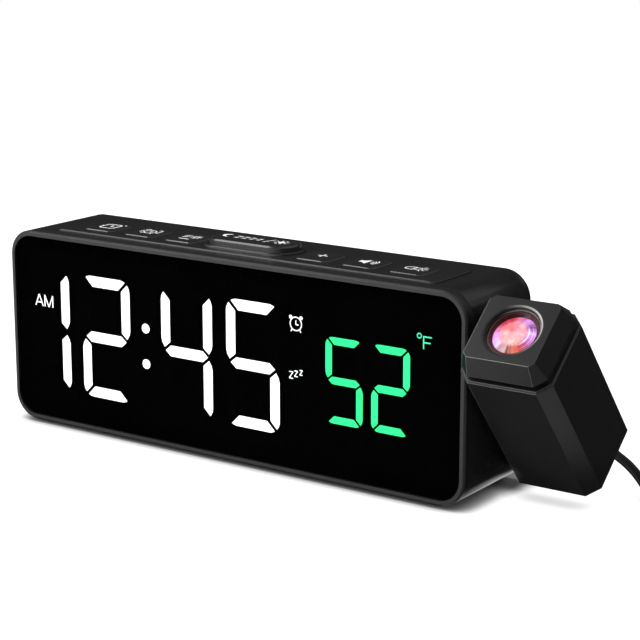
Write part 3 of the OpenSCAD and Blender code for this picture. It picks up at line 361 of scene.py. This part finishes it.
def lit(name, colour, strength, drift=0.05):
    """Milky plastic lit from behind, a little uneven like real segments."""
    s = Shader(name)
    uneven = s.noise(s.coords(), 120)
    s.wire(Emission_Color=s.ramp(uneven, [(0.3, scaled(colour, 1 - drift)), (0.7, colour)]))
    s.set(Base_Color=(*colour, 1), Roughness=0.5, Emission_Strength=strength)
    return s.material


def tinted_glass(name, colour, spec):
    """Clear polished glass of the given tint."""
    s = Shader(name)
    s.wire(Roughness=s.remap(s.noise(s.coords(), 25), 0.0, 0.01))
    s.set(Base_Color=(*colour, 1), Transmission_Weight=1.0, IOR=1.45, Specular_IOR_Level=spec)
    return s.material


def smoked(name, cover):
    """Smoked acrylic: a black sheet that lets the lit segments through."""
    s = Shader(name)
    s.wire(Roughness=s.remap(s.noise(s.coords(), 25), 0.04, 0.07))
    s.set(Base_Color=(0.0006, 0.0006, 0.0007, 1), Specular_IOR_Level=0.0, Alpha=cover)
    return s.material


def glowing_lens(name):
    """A lens lit from behind: pale pink within, with coloured fringes, streaks and arcs
    towards the rim."""
    s = Shader(name)
    where = s.coords()
    x, y = (s.maths("DIVIDE", part, LENS_R * MM) for part in s.split(where)[:2])
    r = s.maths("POWER", s.maths("ADD", s.product(x, x), s.product(y, y)), 0.5)
    turn = s.turn(x, y)

    # The turn starts at the left side and runs through the foot, the right side and the top
    core = s.ramp(turn, [
        (0.0, (1.0, 0.36, 0.36)), (0.2, (1.0, 0.50, 0.47)), (0.35, (1.0, 0.58, 0.54)),
        (0.5, (1.0, 0.54, 0.60)), (0.62, (1.0, 0.42, 0.46)), (0.8, (1.0, 0.24, 0.26)),
        (0.9, (1.0, 0.20, 0.20)), (1.0, (1.0, 0.36, 0.36))])
    rim = s.ramp(turn, [
        (0.0, (0.80, 0.22, 0.45)), (0.06, (0.75, 0.34, 0.95)), (0.13, (0.85, 0.55, 1.0)),
        (0.18, (0.62, 0.36, 0.42)), (0.235, (0.66, 0.36, 0.34)), (0.25, (0.05, 0.01, 0.01)),
        (0.265, (0.62, 0.16, 0.12)), (0.33, (0.72, 0.14, 0.07)), (0.38, (0.45, 0.03, 0.05)),
        (0.45, (0.50, 0.10, 0.45)), (0.53, (0.70, 0.34, 1.0)), (0.6, (0.12, 0.04, 0.16)),
        (0.64, (0.62, 0.30, 0.9)), (0.72, (0.75, 0.25, 0.55)), (0.8, (0.6, 0.03, 0.06)),
        (0.92, (0.6, 0.03, 0.05)), (1.0, (0.80, 0.22, 0.45))])
    body = s.blend("MIX", s.ramp(r, [(0.52, BLACK), (0.74, WHITE)]), core, rim)

    spokes = s.add("ShaderNodeTexNoise", noise_dimensions="1D")
    spokes.inputs["Scale"].default_value = 1
    spokes.inputs["Detail"].default_value = 3
    s.link(s.product(turn, 20), spokes.inputs["W"])
    streaks = s.ramp(spokes.outputs["Fac"],
                     [(0.34, (0.5, 0.4, 0.45)), (0.5, WHITE), (0.66, (1.3, 1.25, 1.3))])
    outwards = s.ramp(r, [(0.3, BLACK), (0.6, grey(0.2)), (0.85, grey(0.6))])
    body = s.blend("MULTIPLY", outwards, body, streaks)
    blots = s.ramp(s.noise(where, 420, 3, 0.6),
                   [(0.38, (1.0, 0.78, 0.80)), (0.5, (1.05, 1.1, 1.1)), (0.62, (1.2, 1.7, 1.7))])
    body = s.blend("MULTIPLY", 0.7, body, blots)

    arcs = s.ramp(r, [
        (0.0, BLACK), (0.66, BLACK), (0.71, (0.8, 0.75, 0.9)), (0.75, grey(0.05)), (0.84, BLACK),
        (0.875, (0.5, 0.42, 0.5)), (0.9, BLACK), (0.96, (0.22, 0.16, 0.2)), (1.0, BLACK)])
    side = s.ramp(turn, [
        (0.34, BLACK), (0.44, WHITE), (0.56, WHITE), (0.62, grey(0.1)), (0.7, BLACK)])
    s.wire(Emission_Color=s.blend("ADD", 1.0, body, s.blend("MULTIPLY", 1.0, arcs, side)))
    s.set(Base_Color=(0.04, 0.02, 0.03, 1), Roughness=0.12, Specular_IOR_Level=0.08,
          Emission_Strength=1.0)
    return s.material


def circuit(name):
    """Green solder mask over faint copper tracks."""
    s = Shader(name)
    cells = s.add("ShaderNodeTexVoronoi", distance="MANHATTAN")
    cells.inputs["Scale"].default_value = 420
    s.link(s.coords(), cells.inputs["Vector"])
    height = cells.outputs["Distance"]
    s.wire(Base_Color=s.ramp(height, [(0.35, (0.008, 0.07, 0.03)), (0.5, (0.02, 0.14, 0.06))]),
           Normal=s.bump(height, 0.3, 0.00005))
    s.set(Roughness=0.3)
    return s.material


def paint(name, colour):
    """Pad-printed ink, with slightly uneven cover."""
    s = Shader(name)
    cover = s.noise(s.coords(), 2500)
    s.wire(Base_Color=s.ramp(cover, [(0.25, scaled(colour, 0.8)), (0.6, colour)]))
    s.set(Roughness=0.5)
    return s.material


# ---- mesh helpers --------------------------------------------------------------------

def finish_mesh(name, mesh, material, body, angle=32, place=None, weighted=True):
    """Makes the piece, shades it smooth up to the angle, and lets it ride on its body."""
    work = bmesh.new()
    work.from_mesh(mesh)
    bmesh.ops.remove_doubles(work, verts=work.verts, dist=1e-7)
    bmesh.ops.recalc_face_normals(work, faces=work.faces)
    for face in work.faces:
        face.smooth = True
    for e in work.edges:
        e.smooth = len(e.link_faces) == 2 and e.calc_face_angle(0) < math.radians(angle)
    work.to_mesh(mesh)
    work.free()
    mesh.materials.append(material)
    piece = bpy.data.objects.new(name, mesh)
    bpy.context.scene.collection.objects.link(piece)
    if place is not None:
        piece.matrix_world = place
    if weighted:
        tidy = piece.modifiers.new("normals", "WEIGHTED_NORMAL")
        tidy.keep_sharp = True
    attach(piece, body)
    return piece


def loft(rings, capped=True):
    """Mesh through rings of 3-D points, all with the same count: capped at both ends, or closed
    on itself."""
    if not capped:
        rings = rings + [rings[0]]
    count = len(rings[0])
    faces = []
    for i in range(len(rings) - 1):
        for k in range(count):
            m = (k + 1) % count
            faces.append((i * count + k, i * count + m, (i + 1) * count + m, (i + 1) * count + k))
    if capped:
        faces.append(tuple(range(count - 1, -1, -1)))
        faces.append(tuple((len(rings) - 1) * count + k for k in range(count)))
    mesh = bpy.data.meshes.new("loft")
    mesh.from_pydata([p for ring in rings for p in ring], [], faces)
    return mesh


def circle(r, count):
    return [(r * math.cos(2 * math.pi * k / count), r * math.sin(2 * math.pi * k / count))
            for k in range(count)]


def squircle(w, h, r, count=6):
    """Outline of a rectangle with rounded corners around the origin."""
    out = []
    for sx, sy, a0 in ((1, 1, 0), (-1, 1, 90), (-1, -1, 180), (1, -1, 270)):
        for k in range(count + 1):
            a = math.radians(a0 + 90 * k / count)
            out.append((sx * (w / 2 - r) + r * math.cos(a), sy * (h / 2 - r) + r * math.sin(a)))
    return out


def turned(profile, count=40):
    """Rings around the local Z axis; the profile is (radius, height) in mm."""
    return [[(x, y, z * MM) for x, y in circle(r * MM, count)] for r, z in profile]


# ---- flat marks ----------------------------------------------------------------------
# A mark is a closed outline, or the two edges of a line and whether the line is a loop

def path_stroke(points, w):
    """A line of even width with mitred corners."""
    loop = len(points) > 2 and points[0] == points[-1]
    line = [Vector(p) for p in (points[:-1] if loop else points)]
    n = len(line)
    left, right = [], []
    for i, p in enumerate(line):
        before = (p - line[i - 1]).normalized() if loop or i else None
        after = (line[(i + 1) % n] - p).normalized() if loop or i < n - 1 else None
        u, v = before or after, after or before
        across = (u + v).orthogonal().normalized()
        reach = min(1 / max(across.dot(u.orthogonal()), 0.1), 1.6) * w / 2
        left.append(tuple(p + across * reach))
        right.append(tuple(p - across * reach))
    return [(left, right, loop)]


def stroke(a, b, w):
    """A straight line."""
    return path_stroke([a, b], w)


def rays(x, y, near, far, w, angles):
    """Short lines that point away from a centre."""
    out = []
    for t in map(math.radians, angles):
        u, v = math.cos(t), math.sin(t)
        out += stroke((x + near * u, y + near * v), (x + far * u, y + far * v), w)
    return out


def arc(x, y, r, w, a0=0, a1=360, count=16):
    """A curved line from one angle to the other, or a whole circle."""
    loop = a1 - a0 == 360
    turns = [math.radians(a0 + (a1 - a0) * k / count) for k in range(count if loop else count + 1)]
    left, right = ([(x + q * math.cos(t), y + q * math.sin(t)) for t in turns]
                   for q in (r - w / 2, r + w / 2))
    return [(left, right, loop)]


def disc(x, y, r):
    """A filled dot."""
    return [([(x + a, y + b) for a, b in circle(r, 16)], None, True)]


def decal(name, marks, at, material, body):
    """A printed sign: flat marks in mm, laid a hair above the surface at the given place."""
    thick = 0.03
    points, faces = [], []
    for left, right, loop in marks:
        outline = left + (right or [])
        low, n = len(points), len(left)
        high = low + len(outline)
        points += [(x * MM, y * MM, z * MM) for z in (0, thick) for x, y in outline]
        if right is None:
            faces += [tuple(high + k for k in range(n)), tuple(low + n - 1 - k for k in range(n))]
        for k in range(n if loop else n - 1):
            m = (k + 1) % n
            faces.append((low + k, low + m, high + m, high + k))
            if right is not None:
                faces += [(low + n + m, low + n + k, high + n + k, high + n + m),
                          (high + k, high + m, high + n + m, high + n + k),
                          (low + m, low + k, low + n + k, low + n + m)]
        if not loop:
            faces += [(low + k, high + k, high + n + k, low + n + k) for k in (0, n - 1)]
    mesh = bpy.data.meshes.new(name)
    mesh.from_pydata(points, [], faces)
    return finish_mesh(name, mesh, material, body, weighted=False,
                       place=Matrix.Translation(Vector(at) * MM))


# ---- materials in use ----------------------------------------------------------------

LENS_R = 6.6

SATIN = ((0.0066, 0.0066, 0.0068), (0.0080, 0.0080, 0.0083))
KEY_SATIN = ((0.0072, 0.0072, 0.0074), (0.0092, 0.0092, 0.0095))

casing_mat = plastic("casing_satin", *SATIN, 0.25, spec=0.4)
# The door's edge line is painted shade: a dark rim where the gap around the door falls in shadow.
door_mat = plastic("door_satin", *SATIN, 0.27, spec=0.4, line=(0.0005, grey(0.0006), None))
frame_mat = framed("frame_satin")
# The front tones of the keypad, keys and snooze bar are painted light: their forward faces are
# lighter, as if lit from the front.
keypad_mat = plastic("keypad_satin", (0.0064, 0.0064, 0.0066), (0.0080, 0.0080, 0.0083), 0.32,
                     spec=0.45, front=(0.062, 0.062, 0.061))
key_mat = plastic("key_satin", *KEY_SATIN, 0.28, spec=0.8, front=(0.07, 0.07, 0.069))
bar_mat = plastic("snooze_satin", *KEY_SATIN, 0.28, spec=0.8, front=(0.03, 0.03, 0.029))
# The head's front tone and edge line are painted light: the forward faces are lifted, and edges
# facing the front carry a painted highlight.
head_mat = plastic("head_satin", (0.0058, 0.0058, 0.0060), (0.0074, 0.0074, 0.0077), 0.33,
                   spec=0.37, front=grey(0.016),
                   line=(0.00026, (0.22, 0.22, 0.215), (-0.35, -0.93, 0.1)))
mask_mat = plastic("mask_black", grey(0.0008), grey(0.0012), 0.9, spec=0.0)
dark_guide_mat = plastic("dark_guide", grey(0.0012), grey(0.0016), 0.8, spec=0.0)
border_mat = plastic("border_print", grey(0.0004), grey(0.0007), 0.9, spec=0.0)
chip_mat = plastic("chip_black", grey(0.012), grey(0.02), 0.5)
cord_plastic_mat = plastic("cord_plastic", (0.0060, 0.0060, 0.0062), (0.0085, 0.0085, 0.0088), 0.42,
                           edge=0.0003, spec=0.3)
# The barrel's black is tinted red: painted red light from the lamp's glow.
barrel_painted_red_light_mat = plastic("barrel_black_painted_red_light", (0.030, 0.007, 0.008), (0.042, 0.009, 0.010), 0.25,
                     edge=0.00015, spec=0.6)
plunger_mat = plastic("plunger_cream", (0.5, 0.46, 0.36), (0.56, 0.52, 0.42), 0.45)
lead_mat = plastic("lead_red", (0.3, 0.02, 0.015), (0.36, 0.03, 0.02), 0.45)
sheath_mat = plastic("flat_cable", grey(0.5), grey(0.58), 0.4)
led_mat = plastic("led_resin", (0.7, 0.64, 0.38), (0.78, 0.72, 0.46), 0.25)
white_mat = lit("white_segments", (1.0, 1.0, 1.0), 1.3, drift=0.02)
green_mat = lit("green_segments", (0.016, 0.93, 0.235), 1.0)
teal_mat = lit("teal_segments", (0.05, 0.82, 0.42), 0.85)
window_mat = smoked("window_smoke", 0.2)
board_mat = circuit("circuit_board")
steel_mat = metal("plated_steel", (0.42, 0.42, 0.43), 0.34, 0.5)
dark_steel_mat = metal("black_screws", (0.06, 0.06, 0.065), 0.4)
cell_mat = metal("cell_steel", (0.66, 0.66, 0.65), 0.28)
alu_mat = metal("turned_aluminium", (0.7, 0.71, 0.73), 0.3)
brass_mat = metal("washer_brass", (0.72, 0.52, 0.22), 0.3)
pad_mat = rubber("pad_rubber", grey(0.014))
ink_mat = paint("sign_ink", grey(0.60))
rear_glass_mat = tinted_glass("rear_lens_glass", (0.95, 0.9, 0.97), 0.5)
lens_mat = glowing_lens("lens_glow")

KEYS = ["clock_key", "alarm_key", "mode_key", "plus_key", "volume_key", "projector_key"]
LOOKS = {
    "main_casing": casing_mat, "rear_cover": casing_mat, "battery_door": door_mat,
    "front_frame": frame_mat, "cover_screws": dark_steel_mat, "antislip_pad": pad_mat,
    "display_window": window_mat, "display_mask": mask_mat, "time_digits": white_mat,
    "temperature_digits": green_mat, "unlit_segments": dark_guide_mat,
    "indicator_icons": white_mat, "temperature_unit": teal_mat, "display_board": board_mat,
    "display_leds": led_mat, "ribbon_cable": sheath_mat, "main_board": board_mat,
    "board_chips": chip_mat, "board_screws": steel_mat, "buzzer": chip_mat,
    "battery_holder": chip_mat, "coin_cell": cell_mat, "battery_door_screw": dark_steel_mat,
    "dc_jack": chip_mat, "swivel_bush": alu_mat, "keypad_plate": keypad_mat,
    "key_board": board_mat, "key_switches": chip_mat, "snooze_bar": bar_mat,
    "snooze_plunger": plunger_mat, "projector_housing": head_mat, "projector_cap": head_mat,
    "lens_barrel": barrel_painted_red_light_mat, "rear_lens": rear_glass_mat,
    "image_panel": chip_mat, "lamp": led_mat, "lamp_board": board_mat,
    "swivel_shaft": alu_mat, "friction_washer": brass_mat, "shaft_nut": steel_mat,
    "projector_lead": lead_mat, "usb_shell": steel_mat,
}
for key in KEYS:
    LOOKS[key] = key_mat
    LOOKS[key + "_plunger"] = plunger_mat
for node, look in LOOKS.items():
    NODES[node].data.materials.clear()
    NODES[node].data.materials.append(look)
cord.data.materials.append(cord_plastic_mat)


# ---- plugs ---------------------------------------------------------------------------

SUPPLY_PLACE = (56, 19.5, 12)
USB_PLACE = END_ROUTE[-1]


def make_supply_plug():
    """Round moulded plug: barrel in the socket, ribbed grip, tapered strain relief."""
    profile = [(1.15, -8.9), (2.6, -9), (2.75, -8.8), (2.75, 0.3), (3.4, 0.35), (4.3, 0.4),
               (4.6, 0.9), (4.6, 2.9)]
    for i in range(6):
        z = 3.3 + i * 1.6
        profile += [(4.6, z - 0.2), (4.3, z), (4.3, z + 0.5), (4.6, z + 0.7)]
    profile += [(4.6, 13.2), (4.2, 14.1), (3.6, 14.4)]
    for i in range(4):
        z = 15 + i * 1.8
        r = 3.55 - i * 0.45
        profile += [(r, z), (r - 0.25, z + 0.35), (r - 0.3, z + 0.9), (r - 0.2, z + 1.2)]
    profile += [(1.95, 22.2), (1.7, 22.5), (1.0, 22.5)]
    place = Matrix.Translation(Vector(SUPPLY_PLACE) * MM) @ Matrix.Rotation(-math.pi / 2, 4, "X")
    piece = finish_mesh("supply_plug", loft(turned(profile)), cord_plastic_mat, "clock",
                        angle=28, place=place)
    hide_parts("dc_plug")
    return piece


def make_usb_grip():
    """Moulded grip of the far plug, from the cord's end to the metal shell."""
    x0, y0, z0 = USB_PLACE
    sections = [(0, 3.6, 3.6, 1.75), (0.4, 4.2, 4.2, 2.0), (3.2, 4.8, 4.6, 2.2),
                (3.7, 9.2, 5.0, 2.1), (5.0, 12.6, 5.4, 1.9), (6.2, 13.6, 5.55, 1.8)]
    for i in range(4):
        x = 7.6 + i * 1.8
        sections += [(x, 14, 5.6, 1.7), (x + 0.3, 13.5, 5.3, 1.6), (x + 0.9, 13.5, 5.3, 1.6),
                     (x + 1.2, 14, 5.6, 1.7)]
    sections += [(19.2, 14, 5.6, 1.6), (19.8, 13.6, 5.3, 1.5), (20, 12.8, 4.9, 1.3)]
    rings = [[((x0 + x) * MM, (y0 + y) * MM, (z0 + z) * MM) for y, z in squircle(w, h, r)]
             for x, w, h, r in sections]
    piece = finish_mesh("usb_grip", loft(rings), cord_plastic_mat, "clock",
                        angle=35)
    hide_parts("usb_plug")
    return piece


plug = make_supply_plug()
usb_grip = make_usb_grip()


# ---- window's printed border ---------------------------------------------------------

def make_border():
    """Black print on the back of the window, over the lip that it is bonded to."""
    w, h, corner, border, middle = 176.4, 62.4, 7.2, 4.8, 34
    outer = squircle(w, h, corner, 10)
    inner = squircle(w - 2 * border, h - 2 * border, corner - border, 10)
    front, back = -18.47, -18.455
    rings = [[(x * MM, y * MM, (middle + z) * MM) for x, z in loop] for loop, y in
             ((outer, front), (inner, front), (inner, back), (outer, back))]
    return finish_mesh("window_border", loft(rings, capped=False), border_mat, "clock",
                       weighted=False)


make_border()


# ---- signs on the keys ---------------------------------------------------------------

KEY_X = [-61.05, -43.7, -26.35, 26.35, 43.7, 61.05]
KEY_TOP, BAR_TOP = 67.755, 70.105
SIGN_Y = -0.4


def clock_sign():
    return (path_stroke([(-2.9, 1.9), (-2.9, -2.3), (-2.1, -3.1), (2.1, -3.1), (2.9, -2.3),
                         (2.9, 2.1), (2.1, 2.9), (-2.1, 2.9), (-2.9, 2.1)], 0.55)
            + path_stroke([(0, 1.5), (0, -0.3), (1.4, -0.3)], 0.5)
            + stroke((3.4, 3.3), (4.2, 3.3), 0.5) + stroke((-3.8, 0.2), (-2.9, 0.2), 0.4))


def alarm_sign():
    out = arc(0, -0.2, 2.2, 0.4) + path_stroke([(0, 1.0), (0, -0.3), (1.1, -0.3)], 0.36)
    out += arc(-2.5, 2.2, 0.8, 0.4, 20, 230, 8) + arc(2.5, 2.2, 0.8, 0.4, -50, 160, 8)
    for k in (-1, 1):
        out += stroke((k * 1.5, -2.1), (k * 2.1, -2.9), 0.4)
        for z in (-1.2, -0.2, 0.8):
            out += stroke((k * 3.0, z), (k * 3.9, z), 0.34)
    return out


def mode_sign():
    return (stroke((-3.6, 2.2), (-1.0, 2.2), 0.36) + stroke((-3.6, 0.9), (-1.4, 0.9), 0.36)
            + stroke((-3.6, -0.4), (-1.4, -0.4), 0.36) + stroke((-3.0, -2.9), (1.2, -2.9), 0.5)
            + arc(1.5, 0.9, 1.0, 0.4) + rays(1.5, 0.9, 1.5, 2.2, 0.34, range(0, 360, 45)))


def plus_sign():
    return stroke((-1.8, 0), (1.8, 0), 0.5) + stroke((0, -1.8), (0, 1.8), 0.5)


def speaker_sign():
    out = [([(-3.4, -1.0), (-2.2, -1.0), (-0.2, -2.7), (-0.2, 2.7), (-2.2, 1.0), (-3.4, 1.0)],
            None, True)]
    for r in (1.4, 2.3, 3.2):
        out += arc(0, 0, r, 0.36, -46, 46, 10)
    return out


def beam_sign():
    return (path_stroke([(-3.4, -1.2), (-3.8, -0.6), (-3.8, 0.6), (-3.4, 1.2), (-2.4, 1.6),
                         (-0.8, 1.6), (-0.8, -1.6), (-2.4, -1.6), (-3.4, -1.2)], 0.4)
            + arc(0.6, 0, 1.3, 0.36, count=14) + rays(0.6, 0, 1.9, 3.2, 0.34, range(-60, 61, 30)))


def sleep_sign():
    """A moon at one end, a row of small sleep marks, a slanted bar and a sun."""
    turns = [math.radians(70 + 220 * k / 14) for k in range(15)]
    out = [([(-11.2 + 1.9 * math.cos(t), 0.3 + 1.9 * math.sin(t)) for t in turns],
            [(-10.45 + 1.395 * math.cos(t), 0.3 + 1.581 * math.sin(t)) for t in turns], False)]
    for k in range(4):
        x, h = -7.6 + 2.9 * k, 2.6 - 0.25 * k
        w = h * 0.72
        out += path_stroke([(x, h / 2), (x + w, h / 2), (x, -h / 2), (x + w, -h / 2)], 0.42)
    out += stroke((4.6, -2.4), (6.4, 2.6), 0.42)
    return out + disc(10.2, 0.2, 1.15) + rays(10.2, 0.2, 1.7, 2.6, 0.5, range(20, 380, 45))


for x, key, marks in zip(KEY_X, KEYS, (clock_sign(), alarm_sign(), mode_sign(), plus_sign(),
                                       speaker_sign(), beam_sign())):
    decal(key + "_sign", marks, (x, SIGN_Y, KEY_TOP), ink_mat, key)
decal("snooze_sign", sleep_sign(), (0, SIGN_Y, BAR_TOP), ink_mat, "snooze_bar")


# ---- front lens and the recess around it ---------------------------------------------
# In the head's own directions: Z runs from the pivot to the face of the cap, in mm

HEAD = Matrix.Translation((0.106, 0, 0.0335)) @ Matrix.Rotation(math.radians(40.3), 4, "X")
CAP_FACE = 33.5
BARREL_BELOW = 1.2 + 0.2  # the recess in the cap, and the gap under it
LENS_BELOW = 1  # under the barrel's end
LENS_EDGE = 2
LENS_CURVE = 14.0


def on_head(height):
    return HEAD @ Matrix.Translation((0, 0, height * MM))


def make_lens():
    """Plano-convex lens with a fine rim."""
    def sag(q):
        return LENS_CURVE - math.sqrt(LENS_CURVE * LENS_CURVE - q * q)

    steps = 12
    profile = [(0.001, 0.0), (LENS_R - 0.25, 0.0), (LENS_R, 0.2), (LENS_R, LENS_EDGE - 0.1)]
    for k in range(1, steps + 1):
        q = LENS_R * (1 - k / steps)
        profile.append((max(q, 0.001), LENS_EDGE + sag(LENS_R) - sag(q)))
    piece = finish_mesh("projector_lens", loft(turned(profile, 64)), lens_mat, "projector_head",
                        angle=40, weighted=False,
                        place=on_head(CAP_FACE - BARREL_BELOW - LENS_BELOW - LENS_EDGE))
    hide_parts("front_lens")


def mouth_look():
    """The head's black, with a painted highlight at its right side, where its bevel would catch the
    light.
    """
    s = Shader("mouth_edge")
    where = s.coords()
    tone = s.ramp(s.turn(*s.split(where)[:2]), [
        (0.0, grey(0.01)), (0.3, grey(0.012)), (0.45, grey(0.12)), (0.62, grey(0.26)),
        (0.72, (0.12, 0.11, 0.11)), (0.85, grey(0.01))])
    s.wire(Base_Color=tone, Roughness=s.remap(s.noise(where, 300), 0.3, 0.4))
    return s.material


def make_mouth():
    """Shallow bevel around the mouth of the cap's recess."""
    profile = [(8.55, -0.24), (8.97, 0.03), (9.14, 0.035), (9.12, -0.02), (8.9, -0.08),
               (8.55, -0.3)]
    finish_mesh("cap_mouth_edge", loft(turned(profile, 72), capped=False), mouth_look(),
                "projector_head", angle=40, place=on_head(CAP_FACE), weighted=False)


make_lens()
make_mouth()


# ---- crisp edges on the carried-over parts -------------------------------------------

EDGE_WIDTHS = {"keypad_plate": 0.15, "main_casing": 0.2, "front_frame": 0.1, "snooze_bar": 0.15,
               **dict.fromkeys(KEYS, 0.12)}
for node, width in EDGE_WIDTHS.items():
    weld = NODES[node].modifiers.new("weld", "WELD")
    weld.merge_threshold = 0.000001
    soften = NODES[node].modifiers.new("edges", "BEVEL")
    soften.width = width * MM
    soften.segments = 2
    soften.limit_method = "ANGLE"
    soften.angle_limit = math.radians(24)
    soften.harden_normals = True
    soften.use_clamp_overlap = True


# ---- stage ---------------------------------------------------------------------------

FLOOR_R = 0.85


def area_light(name, place, aim, size, power, glossy=True):
    data = bpy.data.lights.new(name, "AREA")
    data.shape = "RECTANGLE"
    data.size, data.size_y = size
    data.energy = power
    light = bpy.data.objects.new(name, data)
    light.location = place
    light.rotation_euler = (Vector(aim) - Vector(place)).to_track_quat("-Z", "Y").to_euler()
    light.visible_glossy = glossy
    bpy.context.scene.collection.objects.link(light)


def floor_look():
    """White, with the soft shadows kept. The eye sees a glow under the shade, with painted contact
    shade where the part stands close and a painted shadow behind the foot's right corner, and
    glossy faces mirror painted patches of light."""
    s = Shader("floor_white")
    path = s.add("ShaderNodeLightPath").outputs
    where = s.coords()
    pattern = s.noise(where, 8)

    def combine(kind, a, b, fac=None):
        """Adds two surfaces, or mixes them by the factor."""
        node = s.add(kind)
        if fac is not None:
            s.link(fac, node.inputs["Fac"])
        for socket, surface in zip([i for i in node.inputs if i.name == "Shader"], (a, b)):
            s.link(surface, socket)
        return node.outputs["Shader"]

    def glow(colour, strength=None):
        node = s.add("ShaderNodeEmission")
        s.link(colour, node.inputs["Color"])
        if strength is not None:
            s.link(strength, node.inputs["Strength"])
        return node.outputs["Emission"]

    s.wire(Base_Color=s.ramp(pattern, [(0.3, grey(0.9)), (0.7, grey(0.91))]))
    s.set(Roughness=0.9, Specular_IOR_Level=0.0)

    x, y, _ = s.split(where)
    # painted shadow: a patch behind the foot's right corner where the glow is turned down
    corner = s.product(s.step(x, 0.07, 0.08), s.step(x, 0.0975, 0.0885),
                       s.step(y, 0.004, 0.012), s.step(y, 0.038, 0.028))
    # painted contact shade: the glow darkens with ambient occlusion where the part stands close
    near = s.add("ShaderNodeAmbientOcclusion", samples=8)
    near.inputs["Distance"].default_value = 0.0075
    shade = s.add("ShaderNodeBsdfDiffuse")
    s.link(s.ramp(pattern, [(0.3, grey(0.19)), (0.7, grey(0.2))]), shade.inputs["Color"])
    glow_under_painted_shade = glow(s.ramp(near.outputs["AO"], [(0.08, BLACK), (0.45, grey(0.13)), (0.85, WHITE)]),
                 s.remap(corner, 1.0, 0.0))
    seen = combine("ShaderNodeAddShader", shade.outputs["BSDF"], glow_under_painted_shade)
    plain = combine("ShaderNodeMixShader", s.surface.outputs["BSDF"], seen, path["Is Camera Ray"])

    # Painted reflections, seen only by glossy rays: bright before and behind the part, a strip
    # beside the casing's foot, and a dimmer patch on the right in front of the head
    front = s.product(s.step(x, 0.09, 0.05), s.step(y, -0.055, -0.075))
    back = s.product(s.step(x, 0.085, 0.055), s.step(y, 0.03, 0.05))
    foot = s.product(s.step(x, 0.081, 0.083), s.step(x, 0.093, 0.088),
                     s.step(y, -0.0194, -0.0188), s.step(y, 0.07, 0.05),
                     s.step(path["Ray Length"], 0.0135, 0.0085))
    side = s.product(s.step(x, 0.122, 0.132), s.step(x, 0.2, 0.17),
                     s.step(y, -0.09, -0.07), s.step(y, 0.01, -0.01), 0.6)
    painted_reflection_map = s.ramp(s.highest(front, back, foot, side), [(0.0, grey(0.03)), (1.0, WHITE)])
    s.link(combine("ShaderNodeMixShader", plain, glow(painted_reflection_map), path["Is Glossy Ray"]),
           s.output.inputs["Surface"])
    return s.material


def make_floor():
    mesh = bpy.data.meshes.new("floor")
    mesh.from_pydata([(x, y, 0) for x, y in circle(FLOOR_R, 64)], [], [tuple(range(64))])
    mesh.materials.append(floor_look())
    floor = bpy.data.objects.new("floor", mesh)
    bpy.context.scene.collection.objects.link(floor)


def make_world():
    """White to the eye. Glossy faces mirror dark studio walls, with a paler ceiling over the
    right-hand side."""
    world = bpy.data.worlds.new("studio")
    bpy.context.scene.world = world
    world.use_nodes = True
    n = Nodes(world.node_tree)
    path = n.add("ShaderNodeLightPath").outputs
    x, _, z = n.split(n.coords("Generated"))
    ceiling = n.product(n.step(x, -0.1, 0.5), n.step(z, 0.25, 0.6))
    choose = n.add("ShaderNodeMix")
    n.link(path["Is Glossy Ray"], choose.inputs[0])
    n.link(n.remap(path["Is Camera Ray"], 0.3, 1.0), choose.inputs[2])
    n.link(n.remap(ceiling, 0.03, 0.65), choose.inputs[3])
    back = n.tree.nodes["Background"]
    back.inputs["Color"].default_value = (1, 1, 1, 1)
    n.link(choose.outputs[0], back.inputs["Strength"])


def make_stage():
    """A white floor and surround, and five lamps. The last three give no reflections."""
    make_floor()
    make_world()
    middle = (0, 0, 0.03)
    area_light("edge", (-0.64, -0.22, 0.87), middle, (0.5, 0.35), 3.0)
    area_light("strip", (-0.60, -0.83, 0.56), middle, (0.25, 0.4), 4.5)
    area_light("back", (0.50, 0.95, 0.60), middle, (0.6, 0.4), 5, glossy=False)
    area_light("top", (-0.1, -0.1, 1.2), (0, 0, 0), (1.4, 1.2), 27, glossy=False)
    area_light("front", (-0.2, -1.3, 0.35), middle, (1.2, 0.5), 7, glossy=False)
    bpy.context.scene.view_settings.view_transform = "Standard"


make_stage()
